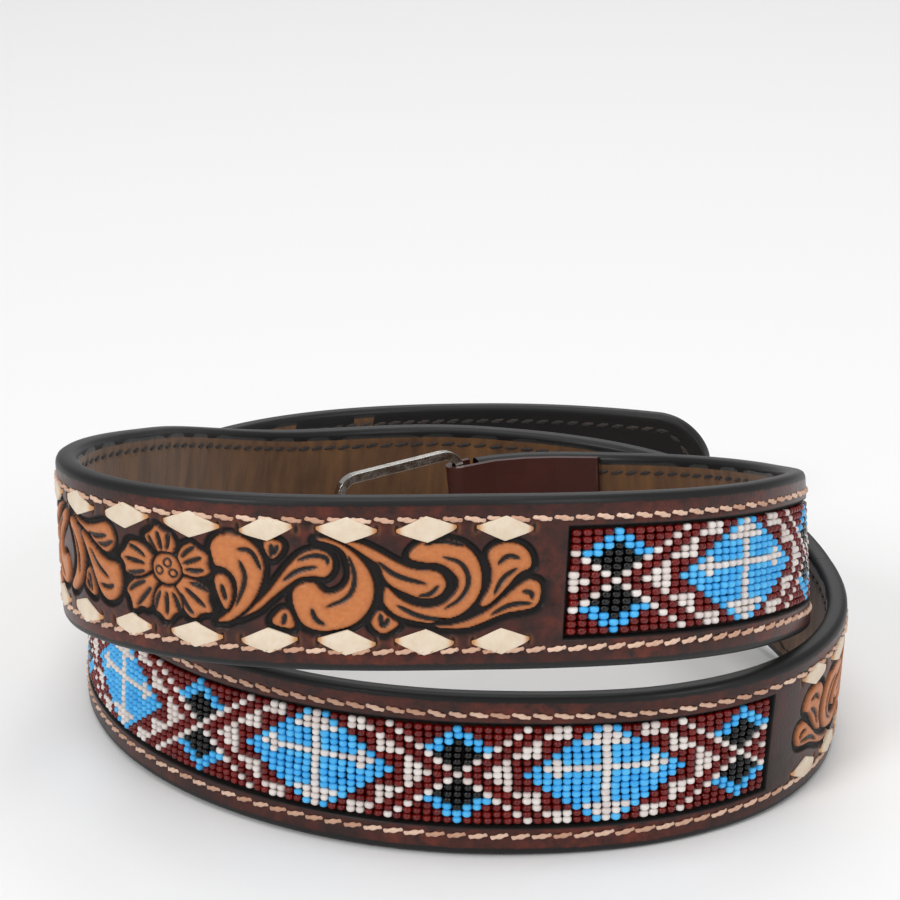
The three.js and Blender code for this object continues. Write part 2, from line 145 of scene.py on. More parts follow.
@dataclass
class Strap:
    """The strap's sizes and the route that it takes round the coil."""

    width: float = 38.1
    length: float = 1240.0
    start: float = 5.0
    face: float = 2.5
    back: float = -2.5
    tip_radius: float = 17.0
    tip_flat: float = 3.0
    stitch_inset: float = 4.75
    window_half: float = 12.3
    black_lining: float = 105.0
    reach: float = 80.0
    middle: tuple[float, float] = (6.4, -11.1)
    first_degrees: float = -95.0
    windows: tuple[tuple[float, float], ...] = ((0.0504, 0.1911), (0.3323, 0.4774), (0.6206, 0.7984))
    holes: tuple[float, ...] = (1195.0, 1173.0, 1151.0, 1129.0, 1107.0)
    hole_radius: float = 2.4
    # Each eighth of a turn: reach as a share of the coil's, lift as a share of the width, lean in degrees.
    rows: tuple[tuple[float, float, float], ...] = (
        (0.585, 0.3, 3.0),
        (0.765, 0.36, 2.5),
        (0.93, 0.645, -1.0),
        (1.145, 1.1, -7.0),
        (1.31, 1.37, -6.0),
        (1.495, 1.325, -0.5),
        (1.055, 0.9, 1.0),
        (0.975, 0.44, 0.0),
        (0.985, 0.285, -1.0),
        (1.03, 0.185, 0.0),
        (1.095, 0.0, 1.5),
        (1.19, 0.0, 4.5),
        (1.1, 0.0, -5.0),
        (1.11, 0.0, -3.5),
        (1.235, 0.0, -3.0),
        (1.47, 0.135, 3.0),
        (1.63, 0.05, 2.5),
        (1.78, 0.0, 1.0),
    )
    degrees: np.ndarray = field(init=False)
    lengths: np.ndarray = field(init=False)

    def __post_init__(self) -> None:
        """Measures the route, so that a length along the strap gives its angle round the coil."""
        self.degrees = np.arange(self.first_degrees, 675.0, 0.25)
        steps = np.linalg.norm(np.diff(self.centre(self.degrees), axis=0), axis=1)
        self.lengths = np.concatenate([[0.0], np.cumsum(steps)])

    def row(self, column: int, degrees: np.ndarray) -> np.ndarray:
        """Reads one column of the route between its rows.

        Args:
            column: 0 for reach, 1 for lift and 2 for lean.
            degrees: angles round the coil.

        Returns:
            The column's value at each angle.
        """
        table = np.array(self.rows)[:, column]
        place = (np.asarray(degrees, float) + 90) / 45
        i = np.clip(np.floor(place).astype(int), 0, len(table) - 2)
        t = place - i
        ends = np.concatenate([[2 * table[0] - table[1]], table, [2 * table[-1] - table[-2]]])
        a, b, c, d = ends[i], ends[i + 1], ends[i + 2], ends[i + 3]
        cubic = (3 * b - a - 3 * c + d) * t**3
        return 0.5 * (2 * b + (c - a) * t + (2 * a - 5 * b + 4 * c - d) * t**2 + cubic)

    def centre(self, degrees: np.ndarray) -> np.ndarray:
        """Gives the strap's middle at each angle round the coil.

        Args:
            degrees: angles round the coil.

        Returns:
            The middle points in millimetres, before the coil is centred.
        """
        turn, lean = np.radians(degrees), np.radians(self.row(2, degrees))
        reach = self.reach * self.row(0, degrees)
        lift = np.maximum(0, self.width * self.row(1, degrees))
        height = lift + self.width / 2 * np.cos(lean) + self.face * np.abs(np.sin(lean))
        return np.stack([reach * np.cos(turn), -reach * np.sin(turn), height], -1)

    def place(self, along: np.ndarray, across: np.ndarray, height: np.ndarray) -> np.ndarray:
        """Bends points of the flat strap round the coil.

        Args:
            along: lengths from the buckle end.
            across: places across the strap, up being positive.
            height: heights over the strap's middle, outwards being positive.

        Returns:
            The points in the row frame, in metres.
        """
        flat, back = np.unique(np.round(along, 5), return_inverse=True)
        degrees = np.interp(flat, self.lengths, self.degrees)
        lean = np.radians(self.row(2, degrees))[:, None]
        run = self.centre(degrees + 0.02) - self.centre(degrees - 0.02)
        run /= np.linalg.norm(run, axis=1, keepdims=True)
        up = np.array([0.0, 0.0, 1.0]) - run * run[:, 2:3]
        up /= np.linalg.norm(up, axis=1, keepdims=True)
        out = np.cross(run, up)
        turn = np.radians(degrees)
        radial = np.stack([np.cos(turn), -np.sin(turn), np.zeros_like(turn)], -1)
        out *= np.sign((out * radial).sum(1))[:, None]
        rise = up * np.cos(lean) + out * np.sin(lean)
        face = out * np.cos(lean) - up * np.sin(lean)
        shift = np.array([self.middle[0], self.middle[1], 0.0])
        middle = self.centre(degrees) + shift
        back = back.reshape(-1)
        spot = middle[back] + rise[back] * np.ravel(across)[:, None] + face[back] * np.ravel(height)[:, None]
        return spot * MM

    def half_width(self, along: np.ndarray) -> np.ndarray:
        """Half the strap's width at each length, which narrows at the rounded tip."""
        past = np.clip((along - (self.length - self.tip_radius)) / self.tip_radius, 0, 1)
        return self.tip_flat + (self.width / 2 - self.tip_flat) * np.sqrt(1 - past**2)

    def window_ends(self) -> list[tuple[float, float]]:
        """The windows' ends as lengths from the buckle end."""
        return [(a * self.length, b * self.length) for a, b in self.windows]

    def seam(self, pitch: float) -> np.ndarray:
        """Spaces stitches evenly along the seam, up one edge, round the tip and back.

        Args:
            pitch: the length of one stitch and its gap.

        Returns:
            A row for each stitch: along, across and the seam's direction in radians.
        """
        line = self.width / 2 - self.stitch_inset
        bend = self.length - self.tip_radius
        turn = np.linspace(0, math.pi, 40)
        ahead = self.tip_radius - self.stitch_inset
        around = np.stack([bend + ahead * np.sin(turn), line * np.cos(turn)], -1)
        path = np.concatenate([[[self.start + 3, line]], around, [[self.start + 3, -line]]])
        steps = np.concatenate([[0], np.cumsum(np.linalg.norm(np.diff(path, axis=0), axis=1))])
        spots = np.linspace(pitch, steps[-1] - pitch, int(steps[-1] / pitch))
        along, across = np.interp(spots, steps, path[:, 0]), np.interp(spots, steps, path[:, 1])
        ahead_x = np.interp(spots + 1, steps, path[:, 0]) - np.interp(spots - 1, steps, path[:, 0])
        ahead_y = np.interp(spots + 1, steps, path[:, 1]) - np.interp(spots - 1, steps, path[:, 1])
        return np.stack([along, across, np.arctan2(ahead_y, ahead_x)], -1)


# Meshes


@dataclass
class Sheet:
    """A fine sheet that follows the strap, started as a flat grid."""

    name: str
    columns: np.ndarray
    rows: int
    side: Face = Face.OUTER

    def build(
        self,
        strap: Strap,
        across: np.ndarray,
        height: np.ndarray,
        flat_across: np.ndarray,
        marks: dict[str, np.ndarray],
        holes: bool = False,
    ) -> bpy.types.Object:
        """Makes the grid and bends it round the coil.

        Args:
            strap: the strap that it follows.
            across: places across the strap, by column and row.
            height: heights over the strap's middle, by column and row.
            flat_across: the texture's place across, by column and row.
            marks: float attributes, by column and row.
            holes: whether the billet holes are cut through it.

        Returns:
            The new object, in place.
        """
        shape = bmesh.new()
        count = len(self.columns)
        bmesh.ops.create_grid(shape, x_segments=count - 1, y_segments=self.rows - 1, size=0.5)
        mesh = bpy.data.meshes.new(self.name)
        shape.to_mesh(mesh)
        shape.free()
        flat = np.empty(3 * len(mesh.vertices))
        mesh.vertices.foreach_get("co", flat)
        flat = flat.reshape(-1, 3)
        i = np.rint((flat[:, 0] + 0.5) * (count - 1)).astype(int)
        j = np.rint((flat[:, 1] + 0.5) * (self.rows - 1)).astype(int)
        along = self.columns[i]
        wide = across[i, j]
        if holes:
            along, wide = self.round_holes(strap, along, wide)
        spots = strap.place(along, wide, height[i, j])
        mesh.vertices.foreach_set("co", spots.ravel())
        corners = np.empty(len(mesh.loops), dtype=np.int32)
        mesh.loops.foreach_get("vertex_index", corners)
        laid = mesh.uv_layers.new(name="strap_mm")
        uv = np.stack([along, flat_across[i, j]], -1)[corners]
        laid.data.foreach_set("uv", uv.ravel())
        for mark, values in marks.items():
            mesh.attributes.new(mark, "FLOAT", "POINT").data.foreach_set("value", values[i, j].ravel())
        if holes:
            self.cut_holes(mesh, strap, along, wide)
        self.turn_out(mesh, strap)
        return finish_object(self.name, mesh)

    @staticmethod
    def round_holes(strap: Strap, along: np.ndarray, wide: np.ndarray) -> tuple[np.ndarray, np.ndarray]:
        """Moves the grid's points near each billet hole onto its round edge.

        Args:
            strap: the strap with its holes.
            along: each point's length along.
            wide: each point's place across.

        Returns:
            The moved lengths and places across.
        """
        along, wide = along.copy(), wide.copy()
        for hole in strap.holes:
            far = np.hypot(along - hole, wide)
            near = (far > strap.hole_radius - 0.35) & (far < strap.hole_radius + 0.35)
            pull = strap.hole_radius / np.maximum(far[near], 0.1)
            along[near] = hole + (along[near] - hole) * pull
            wide[near] = wide[near] * pull
        return along, wide

    @staticmethod
    def cut_holes(mesh: bpy.types.Mesh, strap: Strap, along: np.ndarray, wide: np.ndarray) -> None:
        """Takes out the faces inside each billet hole.

        Args:
            mesh: the sheet's mesh.
            strap: the strap with its holes.
            along: each point's length along.
            wide: each point's place across.
        """
        shape = bmesh.new()
        shape.from_mesh(mesh)
        inside = np.zeros(len(along), dtype=bool)
        for hole in strap.holes:
            inside |= np.hypot(along - hole, wide) < strap.hole_radius - 0.05
        gone = [face for face in shape.faces if any(inside[v.index] for v in face.verts)]
        bmesh.ops.delete(shape, geom=gone, context="FACES")
        shape.to_mesh(mesh)
        shape.free()

    def turn_out(self, mesh: bpy.types.Mesh, strap: Strap) -> None:
        """Turns the sheet's faces to its own side of the strap.

        Args:
            mesh: the sheet's mesh, in place.
            strap: the strap that it follows.
        """
        middle = mesh.polygons[len(mesh.polygons) // 2]
        degrees = math.atan2(middle.center.y - strap.middle[1] * MM, middle.center.x - strap.middle[0] * MM)
        outward = middle.normal.x * math.cos(degrees) + middle.normal.y * math.sin(degrees)
        if outward * self.side.value < 0:
            mesh.flip_normals()


def finish_object(name: str, mesh: bpy.types.Mesh) -> bpy.types.Object:
    """Links a mesh as a smooth object of the belt that rides on its one body.

    Args:
        name: the object's name.
        mesh: its mesh, already in place.

    Returns:
        The object.
    """
    mesh.shade_smooth()
    piece = bpy.data.objects.new(name, mesh)
    bpy.context.scene.collection.objects.link(piece)
    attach(piece, "root")
    LOG.info("%s: %d faces", name, len(mesh.polygons))
    return piece


@dataclass
class Template:
    """A small shape that is repeated along the strap."""

    points: np.ndarray
    faces: np.ndarray

    @classmethod
    def ball(cls, segments: int, rings: int) -> "Template":
        """Starts from a unit ball with its poles along the second axis.

        Args:
            segments: the faces round it.
            rings: the faces from pole to pole.

        Returns:
            The ball, as points and triangles.
        """
        shape = bmesh.new()
        bmesh.ops.create_uvsphere(shape, u_segments=segments, v_segments=rings, radius=1.0)
        bmesh.ops.triangulate(shape, faces=shape.faces[:])
        shape.verts.ensure_lookup_table()
        points = np.array([v.co for v in shape.verts])
        # The operator lists its triangles in no fixed order, so they are sorted for the same mesh each run.
        faces = np.array(sorted([v.index for v in f.verts] for f in shape.faces))
        shape.free()
        return cls(points[:, [0, 2, 1]], faces[:, ::-1])

    def repeat(
        self,
        name: str,
        strap: Strap,
        flat: np.ndarray,
        slots: np.ndarray,
        tones: np.ndarray,
    ) -> bpy.types.Object:
        """Writes every copy of the shape into one mesh.

        Args:
            name: the object's name.
            strap: the strap that the copies follow.
            flat: each copy's points as along, across and height, by copy.
            slots: the material index of each copy.
            tones: a number from 0 to 1 for each copy, which its material reads.

        Returns:
            The object with all copies.
        """
        copies, size = flat.shape[:2]
        spots = strap.place(flat[..., 0].ravel(), flat[..., 1].ravel(), flat[..., 2].ravel())
        shift = (np.arange(copies) * size)[:, None, None]
        faces = (self.faces[None] + shift).reshape(-1, 3)
        mesh = bpy.data.meshes.new(name)
        mesh.from_pydata(spots.tolist(), [], faces.tolist())
        mesh.polygons.foreach_set("material_index", np.repeat(slots, len(self.faces)).astype(np.int32))
        tone = mesh.attributes.new("tone", "FLOAT", "POINT")
        tone.data.foreach_set("value", np.repeat(tones, size))
        laid = mesh.uv_layers.new(name="strap_mm")
        laid.data.foreach_set("uv", flat[..., :2].reshape(-1, 2)[faces.ravel()].ravel())
        if not self.faces_out(spots[:size], faces[: len(self.faces)]):
            mesh.flip_normals()
        return finish_object(name, mesh)

    @staticmethod
    def faces_out(spots: np.ndarray, faces: np.ndarray) -> bool:
        """Tells whether the shape's triangles point away from its middle."""
        a, b, c = (spots[faces[:, k]] - spots.mean(0) for k in range(3))
        return float((a * np.cross(b, c)).sum()) > 0


# Finishes


@dataclass(frozen=True)
class OiledLeather:
    """Vegetable-tanned cowhide, dyed dark brown, carved and antiqued.

    Its edges are painted black and it has a gloss top coat.
    """

    dye: str = "#220d09"
    # The warm red-brown tone is partly the dye's own uneven colour and partly a painted highlight.
    warm_dye_and_painted_highlight: str = "#6a2817"
    tan: str = "#b0602c"
    tan_light: str = "#cf8550"
    burnish: str = "#5a2a10"
    antique: str = "#0a0504"
    paint: str = "#0f0f0f"
    rim_mm: float = 1.85
    patch_mm: float = 26.0
    grain_mm: float = 0.7

    def material(self) -> bpy.types.Material:
        """Builds the leather, its carved tan leaves, its black cuts and its painted rim."""
        made, tree = blank("oiled_carved_cowhide")
        at = add(tree, "ShaderNodeUVMap", uv_map="strap_mm").outputs["UV"]
        # Random warm red-brown patches over the dark dye: partly uneven dye, partly a painted highlight.
        patches = add(tree, "ShaderNodeTexNoise", {"Vector": at, "Scale": 1 / self.patch_mm, "Detail": 5.0})
        patch = add(tree, "ShaderNodeMapRange", {0: patches.outputs["Fac"], 1: 0.3, 2: 0.62})
        streaks = add(
            tree, "ShaderNodeTexNoise", {"Vector": at, "Scale": 0.28, "Detail": 6.0, "Roughness": 0.65}
        )
        streak = add(tree, "ShaderNodeMapRange", {0: streaks.outputs["Fac"], 1: 0.35, 2: 0.7})
        warm = add(tree, "ShaderNodeMath", {0: patch.outputs[0], 1: streak.outputs[0]}, operation="MULTIPLY")
        mix = {"data_type": "RGBA"}
        dyed = add(
            tree, "ShaderNodeMix", {0: warm.outputs[0], 6: linear(self.dye), 7: linear(self.warm_dye_and_painted_highlight)}, **mix
        )
        # The leaves are left natural, sponged darker towards their cuts, so each fades from light to burnt.
        pores = add(tree, "ShaderNodeTexNoise", {"Vector": at, "Scale": 0.9, "Detail": 4.0})
        leaf = add(
            tree, "ShaderNodeMix", {
                0: pores.outputs["Fac"], 6: linear(self.tan), 7: linear(self.tan_light)
            }, **mix
        )
        burnt = add(tree, "ShaderNodeAttribute", attribute_name="burnish")
        leaf = add(
            tree,
            "ShaderNodeMix",
            {0: burnt.outputs["Fac"], 6: leaf.outputs[2], 7: linear(self.burnish)},
            **mix,
        )
        tan = add(tree, "ShaderNodeAttribute", attribute_name="tan")
        body = add(
            tree, "ShaderNodeMix", {0: tan.outputs["Fac"], 6: dyed.outputs[2], 7: leaf.outputs[2]}, **mix
        )
        cut = add(tree, "ShaderNodeAttribute", attribute_name="cut")
        body = add(
            tree, "ShaderNodeMix", {0: cut.outputs["Fac"], 6: body.outputs[2], 7: linear(self.antique)}, **mix
        )
        # The rim paint is rolled on by hand, so its border on the face wanders a little.
        rim = add(tree, "ShaderNodeAttribute", attribute_name="rim")
        wander = add(tree, "ShaderNodeTexNoise", {"Vector": at, "Scale": 0.5, "Detail": 3.0})
        border = add(
            tree, "ShaderNodeMath", {
                0: wander.outputs["Fac"], 1: 0.9, 2: rim.outputs["Fac"]
            }, operation="MULTIPLY_ADD"
        )
        painted = add(
            tree, "ShaderNodeMapRange", {
                0: border.outputs[0], 1: self.rim_mm + 0.6, 2: self.rim_mm + 0.2, 3: 0.0, 4: 1.0
            }
        )
        body = add(
            tree, "ShaderNodeMix", {0: painted.outputs[0], 6: body.outputs[2], 7: linear(self.paint)}, **mix
        )
        grain = add(tree, "ShaderNodeTexVoronoi", {"Vector": at, "Scale": 1 / self.grain_mm})
        fine = add(tree, "ShaderNodeTexNoise", {"Vector": at, "Scale": 2.2, "Detail": 3.0})
        relief = add(
            tree, "ShaderNodeMath", {
                0: fine.outputs["Fac"], 1: 0.6, 2: grain.outputs["Distance"]
            }, operation="MULTIPLY_ADD"
        )
        # The tan leaves keep the hide's open pebble, and the dyed ground is polished down.
        pebble = add(tree, "ShaderNodeMapRange", {0: tan.outputs["Fac"], 3: 0.35, 4: 0.95})
        strength = add(
            tree, "ShaderNodeMix", {0: painted.outputs[0], 2: pebble.outputs[0], 3: 0.2}, data_type="FLOAT"
        )
        bump = add(
            tree, "ShaderNodeBump", {
                "Strength": strength.outputs[0], "Distance": 0.0001, "Height": relief.outputs[0]
            }
        )
        gloss = add(tree, "ShaderNodeMapRange", {0: streaks.outputs["Fac"], 1: 0.3, 2: 0.7, 3: 0.30, 4: 0.46})
        gloss = add(
            tree, "ShaderNodeMix", {0: cut.outputs["Fac"], 2: gloss.outputs[0], 3: 0.75}, data_type="FLOAT"
        )
        gloss = add(
            tree, "ShaderNodeMix", {0: tan.outputs["Fac"], 2: gloss.outputs[0], 3: 0.42}, data_type="FLOAT"
        )
        gloss = add(
            tree, "ShaderNodeMix", {0: painted.outputs[0], 2: gloss.outputs[0], 3: 0.5}, data_type="FLOAT"
        )
        surface(
            tree,
            {
                "Base Color": body.outputs[2],
                "Roughness": gloss.outputs[0],
                "IOR": 1.5,
                "Specular IOR Level": 0.32,
                "Coat Weight": 0.08,
                "Coat Roughness": 0.2,
                "Normal": bump.outputs["Normal"],
            },
        )
        return made


@dataclass(frozen=True)
class SeedGlass:
    """Opaque pressed glass of a seed bead, tumbled to a soft gloss, a little uneven in tone."""

    name: str
    colour: str
    other: str
    roughness: float = 0.13

    def material(self) -> bpy.types.Material:
        """Builds the glass, whose tone each bead sets."""
        made, tree = blank(f"{self.name}_seed_glass")
        tone = add(tree, "ShaderNodeAttribute", attribute_name="tone")
        glass = add(
            tree,
            "ShaderNodeMix",
            {0: tone.outputs["Fac"], 6: linear(self.colour), 7: linear(self.other)},
            data_type="RGBA",
        )
        surface(
            tree,
            {
                "Base Color": glass.outputs[2],
                "Roughness": self.roughness,
                "IOR": 1.52,
                "Specular IOR Level": 0.38,
            },
        )
        return made


@dataclass(frozen=True)
class WaxedThread:
    """Waxed two-ply linen thread, cream outside and nearly black inside."""

    name: str
    colour: str
    shade: str

    def material(self) -> bpy.types.Material:
        """Builds the thread with its fine fibres."""
        made, tree = blank(f"{self.name}_waxed_thread")
        at = add(tree, "ShaderNodeUVMap", uv_map="strap_mm").outputs["UV"]
        fibre = add(tree, "ShaderNodeTexNoise", {"Vector": at, "Scale": 3.0, "Detail": 3.0})
        tone = add(tree, "ShaderNodeAttribute", attribute_name="tone")
        blend = add(
            tree, "ShaderNodeMath", {
                0: fibre.outputs["Fac"], 1: 0.7, 2: tone.outputs["Fac"]
            }, operation="MULTIPLY_ADD"
        )
        weight = add(tree, "ShaderNodeMapRange", {0: blend.outputs[0], 1: 0.2, 2: 1.3})
        cotton = add(
            tree,
            "ShaderNodeMix",
            {0: weight.outputs[0], 6: linear(self.colour), 7: linear(self.shade)},
            data_type="RGBA",
        )
        bump = add(
            tree, "ShaderNodeBump", {"Strength": 0.4, "Distance": 0.0001, "Height": fibre.outputs["Fac"]}
        )
        surface(
            tree,
            {
                "Base Color": cotton.outputs[2],
                "Roughness": 0.62,
                "Sheen Weight": 0.15,
                "Normal": bump.outputs["Normal"],
            },
        )
        return made


@dataclass(frozen=True)
class Rawhide:
    """Scraped rawhide lace: cream, faintly mottled, orange where it is scuffed against the slits."""

    pale: str = "#eee3d2"
    warm: str = "#c9ae8c"
    scuff: str = "#c98a4e"

    def material(self) -> bpy.types.Material:
        """Builds the rawhide, scuffed where the tone mark is high."""
        made, tree = blank("scraped_rawhide")
        at = add(tree, "ShaderNodeUVMap", uv_map="strap_mm").outputs["UV"]
        clouds = add(
            tree, "ShaderNodeTexNoise", {"Vector": at, "Scale": 0.3, "Detail": 6.0, "Roughness": 0.65}
        )
        hide = add(
            tree,
            "ShaderNodeMix",
            {0: clouds.outputs["Fac"], 6: linear(self.pale), 7: linear(self.warm)},
            data_type="RGBA",
        )
        tips = add(tree, "ShaderNodeAttribute", attribute_name="tips")
        worn = add(
            tree, "ShaderNodeMix", {
                0: tips.outputs["Fac"], 6: hide.outputs[2], 7: linear(self.scuff)
            }, data_type="RGBA"
        )
        fine = add(tree, "ShaderNodeTexNoise", {"Vector": at, "Scale": 2.5, "Detail": 3.0})
        bump = add(
            tree, "ShaderNodeBump", {"Strength": 0.25, "Distance": 0.0001, "Height": fine.outputs["Fac"]}
        )
        surface(
            tree,
            {"Base Color": worn.outputs[2], "Roughness": 0.48, "IOR": 1.5, "Normal": bump.outputs["Normal"]},
        )
        return made


@dataclass(frozen=True)
class Suede:
    """Split cowhide with a raised nap, brushed in soft streaks, its rim painted black."""

    brown: str = "#4a2d14"
    light: str = "#714b25"
    paint: str = "#161514"
    rim_mm: float = 2.6

    def material(self) -> bpy.types.Material:
        """Builds the nap with its creases and its painted rim."""
        made, tree = blank("brown_suede_split")
        at = add(tree, "ShaderNodeUVMap", uv_map="strap_mm").outputs["UV"]
        tall = add(tree, "ShaderNodeMapping", {"Vector": at, "Scale": (1.0, 0.25, 1.0)})
        nap = add(
            tree, "ShaderNodeTexNoise", {"Vector": tall.outputs["Vector"], "Scale": 0.22, "Detail": 6.0}
        )
        fuzz = add(tree, "ShaderNodeTexNoise", {"Vector": at, "Scale": 2.0, "Detail": 5.0})
        tone = add(tree, "ShaderNodeMapRange", {0: nap.outputs["Fac"], 1: 0.3, 2: 0.72})
        hide = add(
            tree, "ShaderNodeMix", {
                0: tone.outputs[0], 6: linear(self.brown), 7: linear(self.light)
            }, data_type="RGBA"
        )
        rim = add(tree, "ShaderNodeAttribute", attribute_name="rim")
        border = add(
            tree, "ShaderNodeMath", {
                0: fuzz.outputs["Fac"], 1: 0.8, 2: rim.outputs["Fac"]
            }, operation="MULTIPLY_ADD"
        )
        painted = add(
            tree, "ShaderNodeMapRange", {
                0: border.outputs[0], 1: self.rim_mm + 0.6, 2: self.rim_mm + 0.2, 3: 0.0, 4: 1.0
            }
        )
        hide = add(
            tree, "ShaderNodeMix", {
                0: painted.outputs[0], 6: hide.outputs[2], 7: linear(self.paint)
            }, data_type="RGBA"
        )
        relief = add(
            tree, "ShaderNodeMath", {
                0: nap.outputs["Fac"], 1: 3.0, 2: fuzz.outputs["Fac"]
            }, operation="MULTIPLY_ADD"
        )
        bump = add(tree, "ShaderNodeBump", {"Strength": 0.5, "Distance": 0.0002, "Height": relief.outputs[0]})
        surface(
            tree,
            {
                "Base Color": hide.outputs[2],
                "Roughness": 0.9,
                "Sheen Weight": 0.25,
                "Normal": bump.outputs["Normal"],
            },
        )
        return made


@dataclass(frozen=True)
class PlainLeather:
    """Smooth finished leather without carving, for the billet lining, the fold and the loom's backing."""

    name: str
    colour: str
    other: str
    roughness: float = 0.42

    def material(self) -> bpy.types.Material:
        """Builds the leather with a fine pebbled grain, read in the object's own metres."""
        made, tree = blank(f"{self.name}_leather")
        at = add(tree, "ShaderNodeTexCoord").outputs["Object"]
        clouds = add(tree, "ShaderNodeTexNoise", {"Vector": at, "Scale": 60.0, "Detail": 5.0})
        hide = add(
            tree,
            "ShaderNodeMix",
            {0: clouds.outputs["Fac"], 6: linear(self.colour), 7: linear(self.other)},
            data_type="RGBA",
        )
        # Pebbles about 0.8 mm across.
        pebbles = add(tree, "ShaderNodeTexVoronoi", {"Vector": at, "Scale": 1250.0})
        bump = add(
            tree,
            "ShaderNodeBump",
            {"Strength": 0.2, "Distance": 0.0001, "Height": pebbles.outputs["Distance"]},
        )
        surface(
            tree,
            {
                "Base Color": hide.outputs[2],
                "Roughness": self.roughness,
                "Specular IOR Level": 0.35,
                "Normal": bump.outputs["Normal"],
            },
        )
        return made


@dataclass(frozen=True)
class PolishedNickel:
    """Nickel-plated cast metal, polished, with fine handling scratches."""

    colour: str = "#c9c6c0"

    def material(self) -> bpy.types.Material:
        """Builds the plating."""
        made, tree = blank("polished_nickel_plate")
        at = add(tree, "ShaderNodeTexCoord").outputs["Object"]
        wear = add(tree, "ShaderNodeTexNoise", {"Vector": at, "Scale": 400.0, "Detail": 6.0})
        rough = add(tree, "ShaderNodeMapRange", {0: wear.outputs["Fac"], 1: 0.3, 2: 0.7, 3: 0.16, 4: 0.32})
        bump = add(
            tree, "ShaderNodeBump", {"Strength": 0.02, "Distance": 0.0001, "Height": wear.outputs["Fac"]}
        )
        surface(
            tree,
            {
                "Base Color": linear(self.colour),
                "Metallic": 1.0,
                "Roughness": rough.outputs[0],
                "Normal": bump.outputs["Normal"],
            },
        )
        return made


# Carving


@dataclass(frozen=True)
class Leaf:
    """One carved form: its outline and the cuts on it, right and up from the chart's origin."""

    outline: tuple[tuple[float, float], ...]
    cuts: tuple[tuple[tuple[float, float], ...], ...] = ()

    def moved(self, mirror: bool) -> "Leaf":
        """Gives the leaf, or its mirror image about the flower's middle.

        Args:
            mirror: whether to mirror it.

        Returns:
            The leaf in its place.
        """
        if not mirror:
            return self
        outline, *cuts = [
            tuple((2 * FLOWER_MIDDLE[0] - x, y) for x, y in line) for line in (self.outline, *self.cuts)
        ]
        return Leaf(outline, tuple(cuts))


FLOWER_MIDDLE = (2.5, 1.6)
BOSS_RINGS = ((0.9, 1.3), (3.0, 3.1), (4.2, 0.9))
# Each petal's outline, from its root on the boss round its pointed tip.
PETALS = (
    (
        (1.0, 4.6),
        (-1.6, 6.6),
        (-2.9, 8.6),
        (-1.2, 9.4),
        (0.4, 11.4),
        (1.6, 9.9),
        (3.6, 9.7),
        (5.0, 7.6),
        (4.2, 4.8),
    ),
    (
        (5.0, 3.8),
        (6.0, 6.6),
        (8.4, 8.2),
        (9.8, 6.9),
        (12.6, 5.6),
        (12.0, 3.4),
        (12.9, 1.4),
        (9.6, 0.2),
        (5.8, 0.8),
    ),
    (
        (5.4, 0.2),
        (8.6, 0.0),
        (12.4, -2.4),
        (11.8, -4.4),
        (13.0, -7.4),
        (10.2, -7.4),
        (8.4, -9.4),
        (5.8, -7.0),
        (4.0, -1.2),
    ),
    (
        (3.6, -1.8),
        (5.6, -4.6),
        (5.6, -7.6),
        (3.6, -8.4),
        (1.9, -10.6),
        (0.4, -8.8),
        (-1.6, -8.0),
        (-1.4, -4.6),
        (1.2, -1.8),
    ),
    (
        (0.2, -1.4),
        (-1.6, -4.2),
        (-2.6, -8.4),
        (-5.0, -7.6),
        (-7.4, -9.4),
        (-7.6, -6.4),
        (-9.2, -4.4),
        (-6.0, -1.4),
        (-0.8, 0.2),
    ),
    (
        (-1.0, 0.8),
        (-5.2, -1.4),
        (-8.8, -0.8),
        (-8.6, 1.4),
        (-10.4, 3.0),
        (-8.2, 4.6),
        (-7.0, 7.0),
        (-3.4, 6.4),
        (-0.4, 3.8),
    ),
)
END_LEAVES = (
    Leaf(
        ((58, -9), (66, -9.8), (70, -8.5), (75, -6.2), (79, -5.8), (82, -5), (82.8, -2), (82.3, 0.3),
         (80.5, 1),
         (79, 0.8), (75.5, -2), (71, -6), (65, -8.7)),
        (((78.5, -1.5), (80.5, -1.8), (80.7, -3.3)), ((72, -6.5), (76, -4.2), (80.5, -4.2))),
    ),
    Leaf(
        ((70.5, 6.5), (72, 8.5), (75, 9.3), (78, 8.6), (80, 6.5), (80.5, 3.5), (77.5, 2.5), (75, -1),
         (71, -5),
         (69, -4.5), (71.5, -1), (72, 3)),
        (((73, 4.5), (75, 6.5), (77.5, 5.7)), ((72.5, -2), (74, 1.5), (77, 3.5))),
    ),
    Leaf(
        ((49, -3), (49.5, -4.5), (52, -6.8), (58, -8.3), (61, -7.9), (66, -6.5), (69.5, -2.5), (70, 2),
         (68.5, 6.5),
         (65, 9.4), (60.5, 10.2), (56, 9.3), (53.5, 6), (57.5, 4.9), (61, 4.8), (63.5, 3), (65, 1),
         (64.5, -1.5),
         (61.5, -4.5), (57, -5), (52.5, -3), (49.5, 0.5)),
        (
            ((61.5, 6.2), (65.5, 5), (67.3, 1), (65.5, -3), (62, -5)),
            ((52, -4.2), (57, -7), (64, -7.7)),
            ((57.5, 9), (61, 10), (66, 8.5)),
        ),
    ),
    Leaf(
        ((46.3, -7.8), (48.3, -4.8), (50.5, -7), (52.8, -8.2), (51, -9.8), (49, -10.6), (47.3, -9.5)),
        (((48.5, -6), (48.9, -9)), ((50.3, -7), (49.2, -9))),
    ),
    Leaf(
        ((38.5, 10.5), (42, 9.9), (44.5, 9.3), (48, 7.5), (52, 5), (55.5, 3.4), (60.5, 3.3), (62.3, 1),
         (62, -1.2),
         (60, -2.8), (57, -2.9), (54, -1.7), (50.5, 0), (49, 2), (48.5, 4.5), (45.5, 6.5), (42, 9)),
        (((48, 5.3), (51.5, 2.2), (58, 0.4)), ((56.5, -2.2), (59, -1.9), (60.5, 0))),
    ),
)
